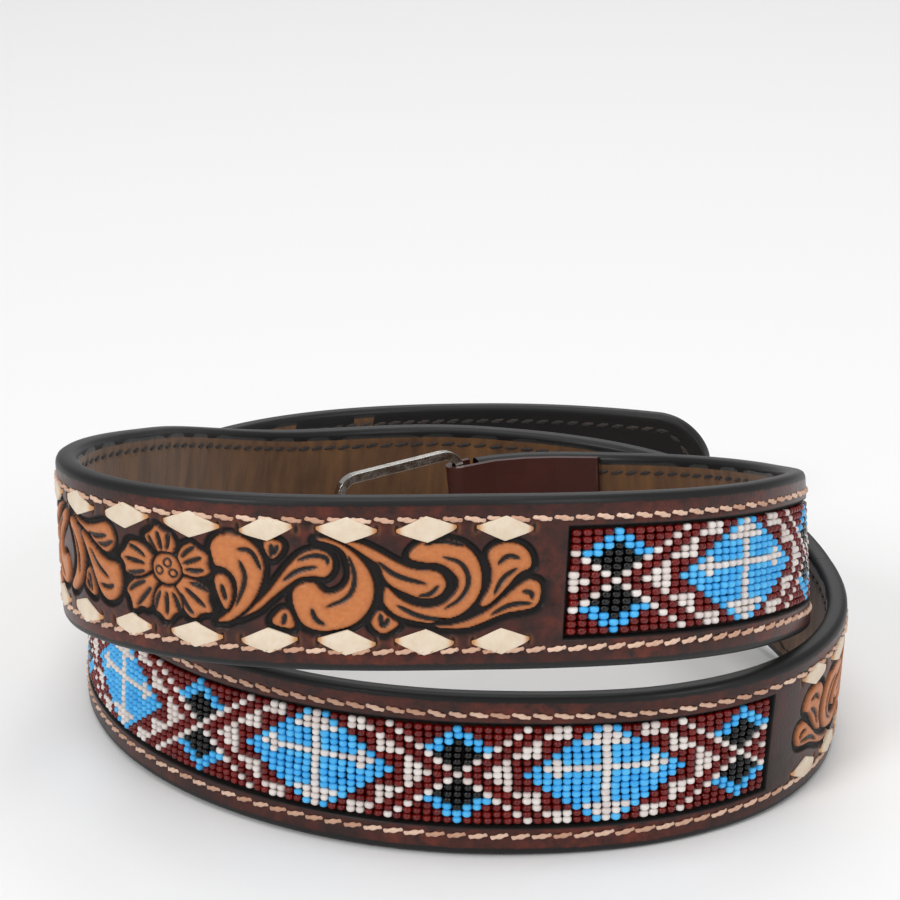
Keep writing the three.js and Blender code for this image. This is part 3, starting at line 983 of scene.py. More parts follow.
RIGHT_LEAVES = (
    Leaf(
        ((30, -2), (30.5, -5), (32, -8.5), (35, -10), (39, -9.9), (43.5, -8.5), (46.5, -5), (47.5, -1),
         (46.5, 3),
         (44, 6.5), (41, 9), (37.5, 10.5), (34.5, 10), (36.5, 9.8), (40.8, 8.3), (42.3, 4.5), (42.3, 1.5),
         (40.5, -1), (37.5, -2), (35.8, -0.5), (35, 0.8), (33, 0.8), (31, -0.2)),
        (((42, 6.5), (43.5, 2), (42.3, -2.5), (37.3, -4.6)), ((34.3, -5), (35, -7.5), (37, -8.5))),
    ),
    Leaf(
        ((17, -8.7), (22, -6.5), (24, -5), (26.5, -2.5), (29.5, 0), (32, 1.9), (35.5, 2.1),
         (37.2, 1.7), (38.8, 3.5),
         (38.8, 6), (36.5, 8), (33, 7.6), (30, 5), (27.5, 1.5), (25, -2), (22, -5)),
        (((31.5, 5.5), (34.5, 6.8), (37.5, 6.4), (37.8, 4.7)), ((28.5, 1), (31.5, 3.5), (35.5, 4.2))),
    ),
    Leaf(
        ((15, -9), (17, -8.8), (22, -4.5), (24.5, 2), (24.2, 6), (22, 9.3), (18, 10.9), (14.5, 10.3),
         (12.8, 8),
         (13.2, 5.5), (13.8, 3.3), (16, 3.2), (18, 1.5), (18.7, -1.5), (17.8, -5), (15.5, -7.5), (13.5, -9)),
        (((19, 7.5), (22, 7.5), (23.8, 3.2)), ((19.3, 5), (20.8, 1), (18.2, -5))),
    ),
    Leaf(
        ((15.8, -6.8), (13.8, -2), (13.4, 0.8), (14.5, 1.8), (16.5, 1.3), (17.6, -1.5), (17, -5)),
        (((15.2, -0.5), (16, -4)),),
    ),
    Leaf(
        ((26, 5.2), (24.6, 7.5), (24.3, 9.5), (26.5, 10.1), (28.8, 8.9), (27.6, 6.5)),
        (((26, 6), (26.2, 9)), ((27.5, 8.8), (26.5, 6.5))),
    ),
    Leaf(
        ((25.3, -8.5), (27, -6), (29, -5), (30.3, -7), (30.8, -9.7), (28, -9.5)),
        (((28.8, -6.2), (28.2, -8.8)),),
    ),
)
LEFT_LEAVES = (
    Leaf(
        ((-31.2, 9.6), (-33, 9.2), (-37, 6.8), (-41, 4.2), (-43.5, 0.5), (-43.5, -4), (-41, -7.8),
         (-37, -9.2),
         (-33.5, -7.5), (-32.2, -4), (-33.4, -1), (-36.2, -2.2), (-38.4, -1.4), (-38.2, 1.2), (-35.5, 4),
         (-32, 6.6)),
        (((-34, 7.4), (-38.5, 4.2), (-40.8, 0.2), (-40.5, -3.8)), ((-36.5, -7), (-39.8, -5), (-41.6, -2))),
    ),
    Leaf(
        ((-26.5, 8), (-24, 4), (-23.5, 0), (-24.5, -4), (-27, -7.5), (-31, -9.5), (-32, -7.5), (-28.5, -4.5),
         (-27, -1), (-27.5, 3), (-30, 8.5)),
        (((-27.6, 5.5), (-25.4, 1), (-26, -4)),),
    ),
    Leaf(
        ((-24.5, 6.8), (-20.5, 4.5), (-17, 2), (-14, 0.8), (-11, 1), (-10.2, -1), (-10.2, -4), (-11.5, -7),
         (-14.5, -8.5), (-17, -7.5), (-18.8, -4.5), (-20.5, -0.5), (-22.5, 3.5)),
        (((-20, 2.7), (-17.5, -0.8), (-14, -2.8)), ((-17, -4.8), (-14.5, -5.2), (-12.5, -4.3))),
    ),
    Leaf(
        ((-29, 9.7), (-24.5, 8.3), (-21, 7.8), (-17, 8.8), (-14, 9.9), (-12, 8.5), (-11.3, 6), (-12.5, 3.7),
         (-14.3, 2.6), (-17, 3.8), (-20.5, 6), (-25, 8)),
        (((-20.5, 6.2), (-17, 6), (-13.8, 6.8)), ((-17, 4.5), (-14.5, 4.4), (-12, 5.8))),
    ),
    Leaf(
        ((-22, -1.3), (-20.8, -3), (-19.3, -7), (-20, -8.5), (-23.5, -7), (-23.9, -5.5)),
        (((-21.8, -3), (-20.8, -7.2)), ((-22.8, -4.5), (-22, -7))),
    ),
)


@dataclass
class Carving:
    """The carved flower, leaves and scrolls of one tooled field, and the slits of its lacing."""

    start: float
    end: float
    flower: float
    facing: float
    laces: int
    spacing: float = 16.4
    lace_row: float = 12.3
    lace_half: float = 6.1
    depth: float = 0.8
    crown: float = 0.34

    def chart(self, along: np.ndarray) -> np.ndarray:
        """Turns lengths along the strap into the chart's sideways measure."""
        return FLOWER_MIDDLE[0] + self.facing * (along - self.flower)

    def leaves(self) -> list[Leaf]:
        """The leaves that fit in this field, back ones first."""
        found = [leaf.moved(mirror) for leaf in END_LEAVES for mirror in (False, True)]
        found += list(RIGHT_LEAVES) + list(LEFT_LEAVES)
        half = (self.end - self.start) / 2 - 1.0
        fitting = [leaf for leaf in found if all(abs(x - FLOWER_MIDDLE[0]) < half for x, _ in leaf.outline)]
        return fitting + self.petals()

    @staticmethod
    def petals() -> list[Leaf]:
        """The six petals round the flower's boss, each with three veins."""
        middle = np.array(FLOWER_MIDDLE)
        made = []
        for outline in PETALS:
            tip = np.array(outline[4])
            run = tip - middle
            side = np.array([-run[1], run[0]]) * 0.21
            veins = []
            for turn in (-1.0, 0.0, 1.0):
                first = middle + run * 0.42 + side * turn * 0.6
                bend = middle + run * 0.62 + side * turn * 1.05
                last = middle + run * (0.84 - 0.06 * abs(turn)) + side * turn * 1.15
                veins.append((tuple(first), tuple(bend), tuple(last)))
            made.append(Leaf(outline, tuple(veins)))
        return made

    @staticmethod
    def rounded(line: np.ndarray, closed: bool) -> np.ndarray:
        """Rounds a line's corners by cutting them twice.

        Args:
            line: the line's points.
            closed: whether its end meets its start.

        Returns:
            The rounded line.
        """
        for _ in range(2):
            nxt = np.roll(line, -1, axis=0) if closed else line[1:]
            now = line if closed else line[:-1]
            cut = np.stack([0.75 * now + 0.25 * nxt, 0.25 * now + 0.75 * nxt], 1).reshape(-1, 2)
            line = cut if closed else np.concatenate([line[:1], cut, line[-1:]])
        return line

    @staticmethod
    def distance(points: np.ndarray, a: np.ndarray, b: np.ndarray) -> tuple[np.ndarray, np.ndarray]:
        """Distance from points to a line's segments.

        Args:
            points: the points, one a row.
            a: the segments' starts.
            b: the segments' ends.

        Returns:
            The least distance of each point, and the share of the line's segments passed there.
        """
        d = b - a
        t = ((points[:, None] - a) * d).sum(-1) / np.maximum((d * d).sum(-1), 1e-9)
        t = np.clip(t, 0, 1)
        far = np.linalg.norm(points[:, None] - (a + t[..., None] * d), axis=-1)
        best = far.argmin(1)
        pick = np.arange(len(points))
        return far[pick, best], (best + t[pick, best]) / len(a)

    @staticmethod
    def inside(points: np.ndarray, ring: np.ndarray) -> np.ndarray:
        """Tells which points lie inside a closed outline.

        Args:
            points: the points, one a row.
            ring: the outline's points.

        Returns:
            A true or false for each point.
        """
        a, b = ring, np.roll(ring, -1, axis=0)
        x, y = points[:, :1], points[:, 1:]
        crosses = (a[:, 1] > y) != (b[:, 1] > y)
        rise = np.where(np.abs(b[:, 1] - a[:, 1]) < 1e-9, 1e-9, b[:, 1] - a[:, 1])
        reach = a[:, 0] + (y - a[:, 1]) * (b[:, 0] - a[:, 0]) / rise
        return (crosses & (x < reach)).sum(1) % 2 == 1

    def carve(
        self,
        along: np.ndarray,
        across: np.ndarray,
        marks: dict[str, np.ndarray],
        height: np.ndarray,
    ) -> None:
        """Carves the field into the strap's marks and heights, which it changes in place.

        Args:
            along: each point's length along the strap.
            across: each point's place across it.
            marks: the tan, cut and burnish marks.
            height: the heights over the leather's face.
        """
        here = (along > self.start - 1) & (along < self.end + 1) & (np.abs(across) < 17)
        points = np.stack([self.chart(along[here]), across[here]], -1)
        tan, cut, burnish = (np.zeros(len(points)) for _ in range(3))
        level = np.zeros(len(points))
        for leaf in self.leaves():
            ring = self.rounded(np.array(leaf.outline, float), True)
            low, high = ring.min(0) - 2, ring.max(0) + 2
            near = ((points > low) & (points < high)).all(1)
            spots = points[near]
            far, _ = self.distance(spots, ring, np.roll(ring, -1, axis=0))
            inner = np.where(self.inside(spots, ring), far, -far)
            border = np.where(tan[near] > 0.5, 0.55, 1.5)
            stamped = smooth(inner + border, -0.35, 0.15)
            body = smooth(inner, -0.1, 0.1)
            top = self.crown * smooth(inner, 0.0, 0.9)
            deep = -self.depth * smooth(inner + border, 0.0, 0.5)
            level[near] = np.where(
                stamped > 0, np.minimum(level[near], deep), level[near]
            ) * (1 - body) + top * body
            cut[near] = np.maximum(cut[near], stamped) * (1 - body)
            tan[near] = np.maximum(tan[near] * (1 - stamped), body)
            burnish[near] = burnish[near] * (1 - body) + body * 0.6 * np.exp(-np.maximum(inner, 0) / 0.5)
            for line in leaf.cuts:
                self.groove(points, near, body, np.array(line, float), tan, cut, burnish, level)
        self.boss(points, tan, cut, burnish, level)
        self.slits(along[here], across[here], tan, cut, burnish, level)
        for name, values in (("tan", tan), ("cut", cut), ("burnish", burnish)):
            marks[name][here] = np.maximum(marks[name][here], values)
        height[here] += level

    def groove(
        self,
        points: np.ndarray,
        near: np.ndarray,
        body: np.ndarray,
        line: np.ndarray,
        tan: np.ndarray,
        cut: np.ndarray,
        burnish: np.ndarray,
        level: np.ndarray,
    ) -> None:
        """Cuts one tapered groove into a leaf, changing the marks in place.

        Args:
            points: the field's points on the chart.
            near: which of them lie close to the leaf.
            body: the leaf's own share at the near points.
            line: the groove's points.
            tan: the share of natural leather at each point.
            cut: the share of black antique at each point.
            burnish: the share of burnt tone at each point.
            level: the carved height at each point.
        """
        line = self.rounded(line, False)
        far, share = self.distance(points[near], line[:-1], line[1:])
        half = 0.55 * np.sin(np.pi * np.clip(share, 0.02, 0.98)) ** 0.6
        mark = smooth(half - far, -0.12, 0.1) * body
        cut[near] = np.maximum(cut[near], mark)
        level[near] -= 0.55 * smooth(half - far, -0.3, 0.25) * body
        burnish[near] = np.maximum(burnish[near], 0.45 * np.exp(-np.maximum(far - half, 0) / 0.45) * body)

    def boss(
        self,
        points: np.ndarray,
        tan: np.ndarray,
        cut: np.ndarray,
        burnish: np.ndarray,
        level: np.ndarray,
    ) -> None:
        """Carves the flower's round middle with its three seeder rings, changing the marks in place.

        Args:
            points: the field's points on the chart.
            tan: the share of natural leather at each point.
            cut: the share of black antique at each point.
            burnish: the share of burnt tone at each point.
            level: the carved height at each point.
        """
        far = np.hypot(points[:, 0] - FLOWER_MIDDLE[0], points[:, 1] - FLOWER_MIDDLE[1])
        border = smooth(4.0 - far, -0.15, 0.15)
        body = smooth(3.4 - far, -0.15, 0.15)
        cut[:] = np.maximum(cut, border) * (1 - body)
        tan[:] = np.maximum(tan * (1 - border), body)
        level[:] = np.where(border > 0.5, -0.5, level) * (1 - body) + body * 0.45 * smooth(3.4 - far, 0, 1.4)
        burnish[:] = burnish * (1 - body) + body * 0.6 * np.exp(-np.maximum(3.4 - far, 0) / 0.7)
        for x, y in BOSS_RINGS:
            ring = np.abs(np.hypot(points[:, 0] - x, points[:, 1] - y) - 0.85)
            mark = smooth(0.3 - ring, -0.15, 0.15)
            cut[:] = np.maximum(cut, mark)
            level[:] -= 0.3 * mark

    def lace_places(self) -> np.ndarray:
        """The lengths along the strap where the rawhide diamonds sit."""
        middle = (self.start + self.end) / 2
        return middle + (np.arange(self.laces) - (self.laces - 1) / 2) * self.spacing

    def slits(
        self,
        along: np.ndarray,
        across: np.ndarray,
        tan: np.ndarray,
        cut: np.ndarray,
        burnish: np.ndarray,
        level: np.ndarray,
    ) -> None:
        """Cuts the slits that the lace dives into, with the dye scuffed off round them.

        Args:
            along: each point's length along the strap.
            across: each point's place across it.
            tan: the share of natural leather at each point.
            cut: the share of black antique at each point.
            burnish: the share of burnt tone at each point.
            level: the carved height at each point.
        """
        for place in self.lace_places():
            for side in (-1, 1):
                for end in (-1, 1):
                    x = along - (place + end * self.lace_half)
                    y = across - side * self.lace_row
                    scuff = np.exp(-((x / 0.75) ** 2 + (y / 1.0) ** 2))
                    slit = np.exp(-(((x / 0.5) ** 2 + (y / 1.3) ** 2) ** 2))
                    tan[:] = np.maximum(tan, 0.6 * scuff)
                    burnish[:] = np.maximum(burnish, 0.8 * scuff)
                    cut[:] = np.maximum(cut * (1 - scuff), slit)
                    level[:] -= 0.5 * slit


# Pieces of the belt


@dataclass
class CarvedStrap:
    """The outer strap's face and painted rim, with its windows, carving, seam groove and billet holes."""

    strap: Strap
    fields: tuple[Carving, ...]
    coarse: float = 2.2
    fine: float = 0.29
    middling: float = 0.42
    parts: tuple[tuple[str, float, float], ...] = (
        ("front", 0.0, 430.0),
        ("side", 430.0, 800.0),
        ("tail", 800.0, 1240.0),
    )

    def columns(self) -> np.ndarray:
        """Lengths of the grid's columns, close together where the leather is carved or cut."""
        marks = [self.strap.start, self.strap.length]
        for k, carving in enumerate(self.fields):
            step = self.fine if k == 0 else self.middling
            marks += list(np.arange(carving.start, carving.end, step))
        for hole in self.strap.holes:
            marks += list(np.arange(hole - 3.2, hole + 3.3, 0.4))
        for first, last in self.strap.window_ends():
            marks += [
                first - 0.45, first - 0.15, first, first + 0.05, last - 0.05, last, last + 0.15, last + 0.45
            ]
        tip = self.strap.length - self.strap.tip_radius
        marks += list(tip + self.strap.tip_radius * np.sin(np.linspace(0, math.pi / 2, 24)))
        marks += list(self.strap.length - np.array([1.5, 1.1, 0.7, 0.4, 0.2, 0.08]))
        kept = sorted(marks)
        full = [kept[0]]
        for value in kept[1:]:
            gap = value - full[-1]
            if gap < 0.04:
                continue
            if gap > self.coarse:
                count = math.ceil(gap / self.coarse)
                full += list(full[-1] + gap * np.arange(1, count) / count)
            full.append(value)
        return np.array(full)

    def profile(self) -> np.ndarray:
        """The cross-section from the back rim over the face to the other back rim, as across and height."""
        half = self.strap.width / 2
        rim = [
            (half - 2.6, -2.5),
            (half - 1.5, -2.47),
            (half - 0.8, -2.3),
            (half - 0.3, -1.85),
            (half - 0.05, -1.1),
        ]
        rim += [(half, -0.2), (half, 0.7), (half - 0.12, 1.45), (half - 0.5, 2.05), (half - 1.1, 2.38)]
        rim += [
            (half - 1.85, 2.5), (half - 2.6, 2.5), (half - 3.4, 2.5), (14.95, 2.48), (14.6, 2.38), (14.3, 2.3)
        ]
        rim += [(14.0, 2.38), (13.6, 2.48), (12.9, 2.5), (12.45, 2.5), (12.3, 2.5), (12.25, 2.5)]
        rim += [(11.7, 2.5), (11.1, 2.5), (10.6, 2.5), (10.15, 2.5)]
        inner = [(value, 2.5) for value in np.arange(9.84, 0.1, -0.3)]
        side = rim + inner
        mirrored = [(-a, h) for a, h in side[::-1]]
        return np.array(side + [(0.0, 2.5)] + mirrored)[::-1]

    def build(self, leather: bpy.types.Material) -> list[bpy.types.Object]:
        """Builds the strap's face and rim, in parts that meet edge to edge.

        Args:
            leather: their material.

        Returns:
            The parts' objects.
        """
        every = self.columns()
        made = []
        for name, first, last in self.parts:
            start, end = np.searchsorted(every, [first, last])
            made.append(self.part(f"carved_strap_{name}", every[start : end + 1], leather))
        return made

    def part(self, name: str, columns: np.ndarray, leather: bpy.types.Material) -> bpy.types.Object:
        """Builds one part of the strap.

        Args:
            name: the object's name.
            columns: the lengths of its grid's columns.
            leather: its material.

        Returns:
            The part's object.
        """
        profile = self.profile()
        along = np.repeat(columns[:, None], len(profile), 1)
        flat = np.repeat(profile[None, :, 0], len(columns), 0)
        height = np.repeat(profile[None, :, 1], len(columns), 0)
        half = self.strap.half_width(columns)[:, None]
        across = flat * half / (self.strap.width / 2)
        shape = np.zeros_like(height)
        marks = {name: np.zeros_like(height) for name in ("tan", "cut", "burnish")}
        facing = height > 2.0
        for carving in self.fields:
            carving.carve(along, across, marks, shape)
        for first, last in self.strap.window_ends():
            deep = np.minimum(
                self.strap.window_half - np.abs(across), np.minimum(along - first, last - along)
            )
            shape -= np.interp(deep, [-0.45, -0.15, 0.0, 0.05], [0.0, 0.06, 0.35, 2.1])
            marks["cut"] = np.maximum(marks["cut"], (deep > -0.3).astype(float))
        height = height + np.where(facing, shape, 0)
        # The face dips and swells by a few hundredths, as thick bridle leather does.
        height = height + np.where(facing, 0.05 * np.sin(along / 7.3) * np.sin(across / 5.1 + along / 23), 0)
        past = np.clip((along - (self.strap.length - 1.5)) / 1.5, 0, 1)
        height = height * np.sqrt(np.maximum(0, 1 - past**2))
        marks["rim"] = np.minimum(half - np.abs(across), self.strap.length - along)
        marks["rim"] = np.where(profile[None, :, 1] < 2.3, 0, marks["rim"])
        sheet = Sheet(name, columns, len(profile), Face.OUTER)
        piece = sheet.build(self.strap, across, height, flat, marks, holes=columns[-1] > self.strap.holes[0])
        piece.data.materials.append(leather)
        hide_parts("outer_strap")
        return piece

    def hole_walls(self, leather: bpy.types.Material) -> bpy.types.Object:
        """Builds the walls of the billet holes.

        Args:
            leather: their material.

        Returns:
            The walls' object.
        """
        shape = bmesh.new()
        for hole in self.strap.holes:
            made = bmesh.ops.create_cone(
                shape, cap_ends=False, segments=24, radius1=1.0, radius2=1.0, depth=1.0
            )
            for vert in made["verts"]:
                reach = self.strap.hole_radius
                wide = self.strap.back if vert.co.z < 0 else self.strap.face
                spot = self.strap.place(
                    np.array([hole + reach * vert.co.x]), np.array([reach * vert.co.y]), np.array([wide])
                )
                vert.co = spot[0]
        bmesh.ops.recalc_face_normals(shape, faces=shape.faces[:])
        bmesh.ops.reverse_faces(shape, faces=shape.faces[:])
        mesh = bpy.data.meshes.new("billet_hole_walls")
        shape.to_mesh(mesh)
        shape.free()
        piece = finish_object("billet_hole_walls", mesh)
        piece.data.materials.append(leather)
        return piece


@dataclass
class Linings:
    """The suede lining and the smooth black lining behind the tip."""

    strap: Strap
    step: float = 1.2

    def sheet(self, name: str, first: float, last: float, holes: bool) -> bpy.types.Object:
        """Lays one lining sheet on the strap's inner side.

        Args:
            name: the object's name.
            first: where it starts along the strap.
            last: where it ends.
            holes: whether the billet holes pass through it.

        Returns:
            The sheet's object.
        """
        columns = list(np.arange(first, last, self.step))
        if holes:
            tip = self.strap.length - self.strap.tip_radius
            columns = [v for v in columns if v < tip]
            for hole in self.strap.holes:
                columns += list(np.arange(hole - 3.2, hole + 3.3, 0.4))
            columns += list(tip + self.strap.tip_radius * np.sin(np.linspace(0, math.pi / 2, 24)))
            columns += list(last - np.array([1.5, 1.1, 0.7, 0.4, 0.2]))
        columns = np.unique(np.round(columns + [last], 2))
        reach = self.strap.width / 2 - 1.4
        inner = list(np.arange(0.4, 4.1, 0.4))
        outer = list(np.linspace(4.8, reach, 16))
        rows = np.array([-v for v in (inner + outer)[::-1]] + [0.0] + inner + outer)
        along = np.repeat(columns[:, None], len(rows), 1)
        flat = np.repeat(rows[None], len(columns), 0)
        half = self.strap.half_width(columns)[:, None]
        across = flat * np.maximum(half - 1.4, 1.6) / reach
        # The nap side buckles in soft upright creases where the strap bends.
        crease = 0.10 * np.sin(along / 2.1 + 0.7 * np.sin(across / 6)) * np.sin(along / 17.0) ** 2
        groove = 0.16 * np.exp(-(((np.abs(across) - 14.3) / 0.5) ** 2))
        edge = 0.10 * smooth(np.abs(flat), reach - 1.0, reach)
        height = self.strap.back - 0.03 + groove + edge + (0 if holes else 1) * np.maximum(crease, -0.02)
        past = np.clip((along - (self.strap.length - 1.5)) / 1.5, 0, 1)
        height = height * np.sqrt(np.maximum(0, 1 - past**2))
        marks = {"rim": np.minimum(half - np.abs(across), self.strap.length - along)}
        laid = Sheet(name, columns, len(rows), Face.INNER)
        return laid.build(self.strap, across, height, flat, marks, holes)

    def build(self, suede: bpy.types.Material, black: bpy.types.Material) -> list[bpy.types.Object]:
        """Builds both linings.

        Args:
            suede: the material of the long one.
            black: the material of the one behind the tip.

        Returns:
            The two objects.
        """
        change = self.strap.length - self.strap.black_lining
        nap = self.sheet("suede_nap_lining", self.strap.start, change + 0.2, False)
        smooth_end = self.sheet("smooth_billet_lining", change, self.strap.length, True)
        for piece, finish, slot, node in (
            (nap, suede, "suede_lining", "lining"),
            (smooth_end, black, "black_lining", "billet_lining"),
        ):
            piece.data.materials.append(finish)
            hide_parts(node)
        return [nap, smooth_end]


class Bead(Enum):
    """Seed bead colours of the loom chart."""

    R = 0
    W = 1
    B = 2
    K = 3


# The loom chart, from the middle of the cross to the middle of the diamond. It is mirrored to repeat.
BEAD_CHART = (
    "BBKKKKKWKKKKKBB",
    "RBBKKKWRWKKKBBR",
    "RRBBKWRRRWKBBRR",
    "RRRBWRRWRRWBRRR",
    "RRRWRRWWWRRWRRR",
    "RRWRRWWWWWRRWRR",
    "RWRRWRRRRRWRRWR",
    "WRRWWRRBRRWWRRW",
    "RRWWWRBBBRWWWRR",
    "RWRRRBBBWBRRRWR",
    "WWRRBBBWWWBRRWW",
    "WWRBBBBBWBBBRWW",
    "RRBBBBBBWBBBBRR",
    "RBWBBBBBWBBBWBR",
    "BWWBBBBBWBBBWWB",
    "WWWWWWWWWWWWWWW",
)


@dataclass
class Loomwork:
    """One beaded strip in its window."""

    strap: Strap
    name: str
    node: str
    first: float
    last: float
    rows: int
    offset: int
    flip: bool
    seed: int
    across: int = 15
    gap: float = 0.75
    sink: float = 1.0

    def build(self, glass: list[bpy.types.Material], backing: bpy.types.Material) -> list[bpy.types.Object]:
        """Strings the beads and lays the cloth behind them.

        Args:
            glass: the four glass materials, in the order of Bead.
            backing: the material of the cloth.

        Returns:
            The beads and the backing.
        """
        shape = Template.ball(10, 6)
        # A seed bead is a fat ring: its ends are flat and its belly round.
        ends = np.clip(np.abs(shape.points[:, 1]), 0, 1)
        belly = np.where(ends > 0.99, 0.0, np.sqrt(1 - np.minimum(ends, 0.87) ** 3.2))
        round_off = np.hypot(shape.points[:, 0], shape.points[:, 2])
        scale = belly / np.maximum(round_off, 1e-6)
        points = shape.points * np.stack([scale, np.ones_like(scale), scale], -1)
        points[:, 1] = np.clip(points[:, 1] * 1.15, -1, 1)
        chance = np.random.default_rng(self.seed)
        pitch = (self.last - self.first - 2 * self.gap) / self.rows
        wide = (2 * self.strap.window_half - 2 * self.gap) / self.across
        i, j = np.meshgrid(np.arange(self.rows), np.arange(self.across), indexing="ij")
        i, j = i.ravel(), j.ravel()
        count = len(i)
        away = np.abs((i - self.offset + 15) % 30 - 15)
        letters = np.array([[Bead[c].value for c in line] for line in BEAD_CHART])
        column = self.across - 1 - j if self.flip else j
        colour = letters[away, column]
        along = self.first + self.gap + (i + 0.5) * pitch + chance.normal(0, 0.05, count)
        wander = 0.12 * np.sin(i / 5.0 + j * 0.9)
        across = (j - (self.across - 1) / 2) * wide + chance.normal(0, 0.04, count) + 0.08 * np.sin(i / 7.0)
        size = 1 + chance.normal(0, 0.035, count)
        turn = chance.normal(0, 0.06, count)
        x = points[None, :, 0] * (0.485 * pitch * size)[:, None]
        y = points[None, :, 1] * (0.475 * wide * size)[:, None]
        z = points[None, :, 2] * (1.08 * size)[:, None]
        s = (along + wander)[:, None] + x * np.cos(turn)[:, None] - y * np.sin(turn)[:, None]
        t = across[:, None] + x * np.sin(turn)[:, None] + y * np.cos(turn)[:, None]
        top = self.strap.face - self.sink + chance.normal(0, 0.05, count)
        flat = np.stack([s, t, z + top[:, None]], -1)
        beads = shape.repeat(f"seed_beads_{self.name}", self.strap, flat, colour, chance.random(count))
        for material in glass:
            beads.data.materials.append(material)
        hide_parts(self.node)
        return [beads, self.cloth(backing)]

    def cloth(self, backing: bpy.types.Material) -> bpy.types.Object:
        """Lays the dark cloth that shows between the beads.

        Args:
            backing: its material.

        Returns:
            The cloth's object.
        """
        columns = np.linspace(self.first + 0.2, self.last - 0.2, 80)
        rows = np.linspace(-self.strap.window_half + 0.2, self.strap.window_half - 0.2, 9)
        across = np.repeat(rows[None], len(columns), 0)
        height = np.full_like(across, self.strap.face - 1.7)
        sheet = Sheet(f"loom_cloth_{self.name}", columns, len(rows), Face.OUTER)
        piece = sheet.build(self.strap, across, height, across, {})
        piece.data.materials.append(backing)
        return piece


@dataclass
class Stitching:
    """Saddle stitching round the strap: cream outside and dark inside."""

    strap: Strap
    pitch: float = 4.7
    length: float = 4.5
    width: float = 1.05
    slant: float = 0.17

    def build(self, cream: bpy.types.Material, dark: bpy.types.Material) -> list[bpy.types.Object]:
        """Sews both sides.

        Args:
            cream: the outer thread.
            dark: the inner thread.

        Returns:
            The two objects.
        """
        outside = self.sew("cream_saddle_stitches", self.strap.face + 0.1, 14, 12, 21)
        inside = self.sew("dark_back_stitches", self.strap.back + 0.02, 8, 6, 22)
        outside.data.materials.append(cream)
        inside.data.materials.append(dark)
        return [outside, inside]

    def sew(self, name: str, height: float, segments: int, rings: int, seed: int) -> bpy.types.Object:
        """Sews one side.

        Args:
            name: the object's name.
            height: the stitches' middle over the strap's.
            segments: the faces round each stitch.
            rings: the faces along it.
            seed: for the small differences from stitch to stitch.

        Returns:
            The stitches' object.
        """
        shape = Template.ball(segments, rings)
        chance = np.random.default_rng(seed)
        lengthwise = shape.points[:, 1]
        around = np.arctan2(shape.points[:, 2], shape.points[:, 0])
        fat = np.hypot(shape.points[:, 0], shape.points[:, 2])
        fat = np.where(fat < 1e-4, 0, np.maximum(fat, 0) ** 0.55)
        # Two plies laid up together: the section has two lobes, which turn along the stitch.
        ply = 1 + 0.27 * np.cos(2 * (around - 3.4 * lengthwise))
        side = fat * ply * np.cos(around)
        rise = fat * ply * np.sin(around)
        seam = self.strap.seam(self.pitch)
        if height < 0:
            seam = seam[1:]
        count = len(seam)
        long = 0.5 * self.length * (1 + chance.normal(0, 0.04, count))[:, None]
        turn = (
            seam[:, 2] + self.slant * np.sign(np.cos(seam[:, 2])) + chance.normal(0, 0.03, count)
        )[:, None]
        x = lengthwise[None] * long
        y = side[None] * 0.5 * self.width * np.ones((count, 1))
        sink = 0.42 * lengthwise[None] ** 4 * (1.0 if height > 0 else -1.0)
        z = height + rise[None] * 0.36 - sink
        s = seam[:, :1] + x * np.cos(turn) - y * np.sin(turn)
        t = seam[:, 1:2] + x * np.sin(turn) + y * np.cos(turn) + chance.normal(0, 0.05, count)[:, None]
        flat = np.stack([s, t, z * np.ones_like(s)], -1)
        return shape.repeat(name, self.strap, flat, np.zeros(count, int), chance.random(count))


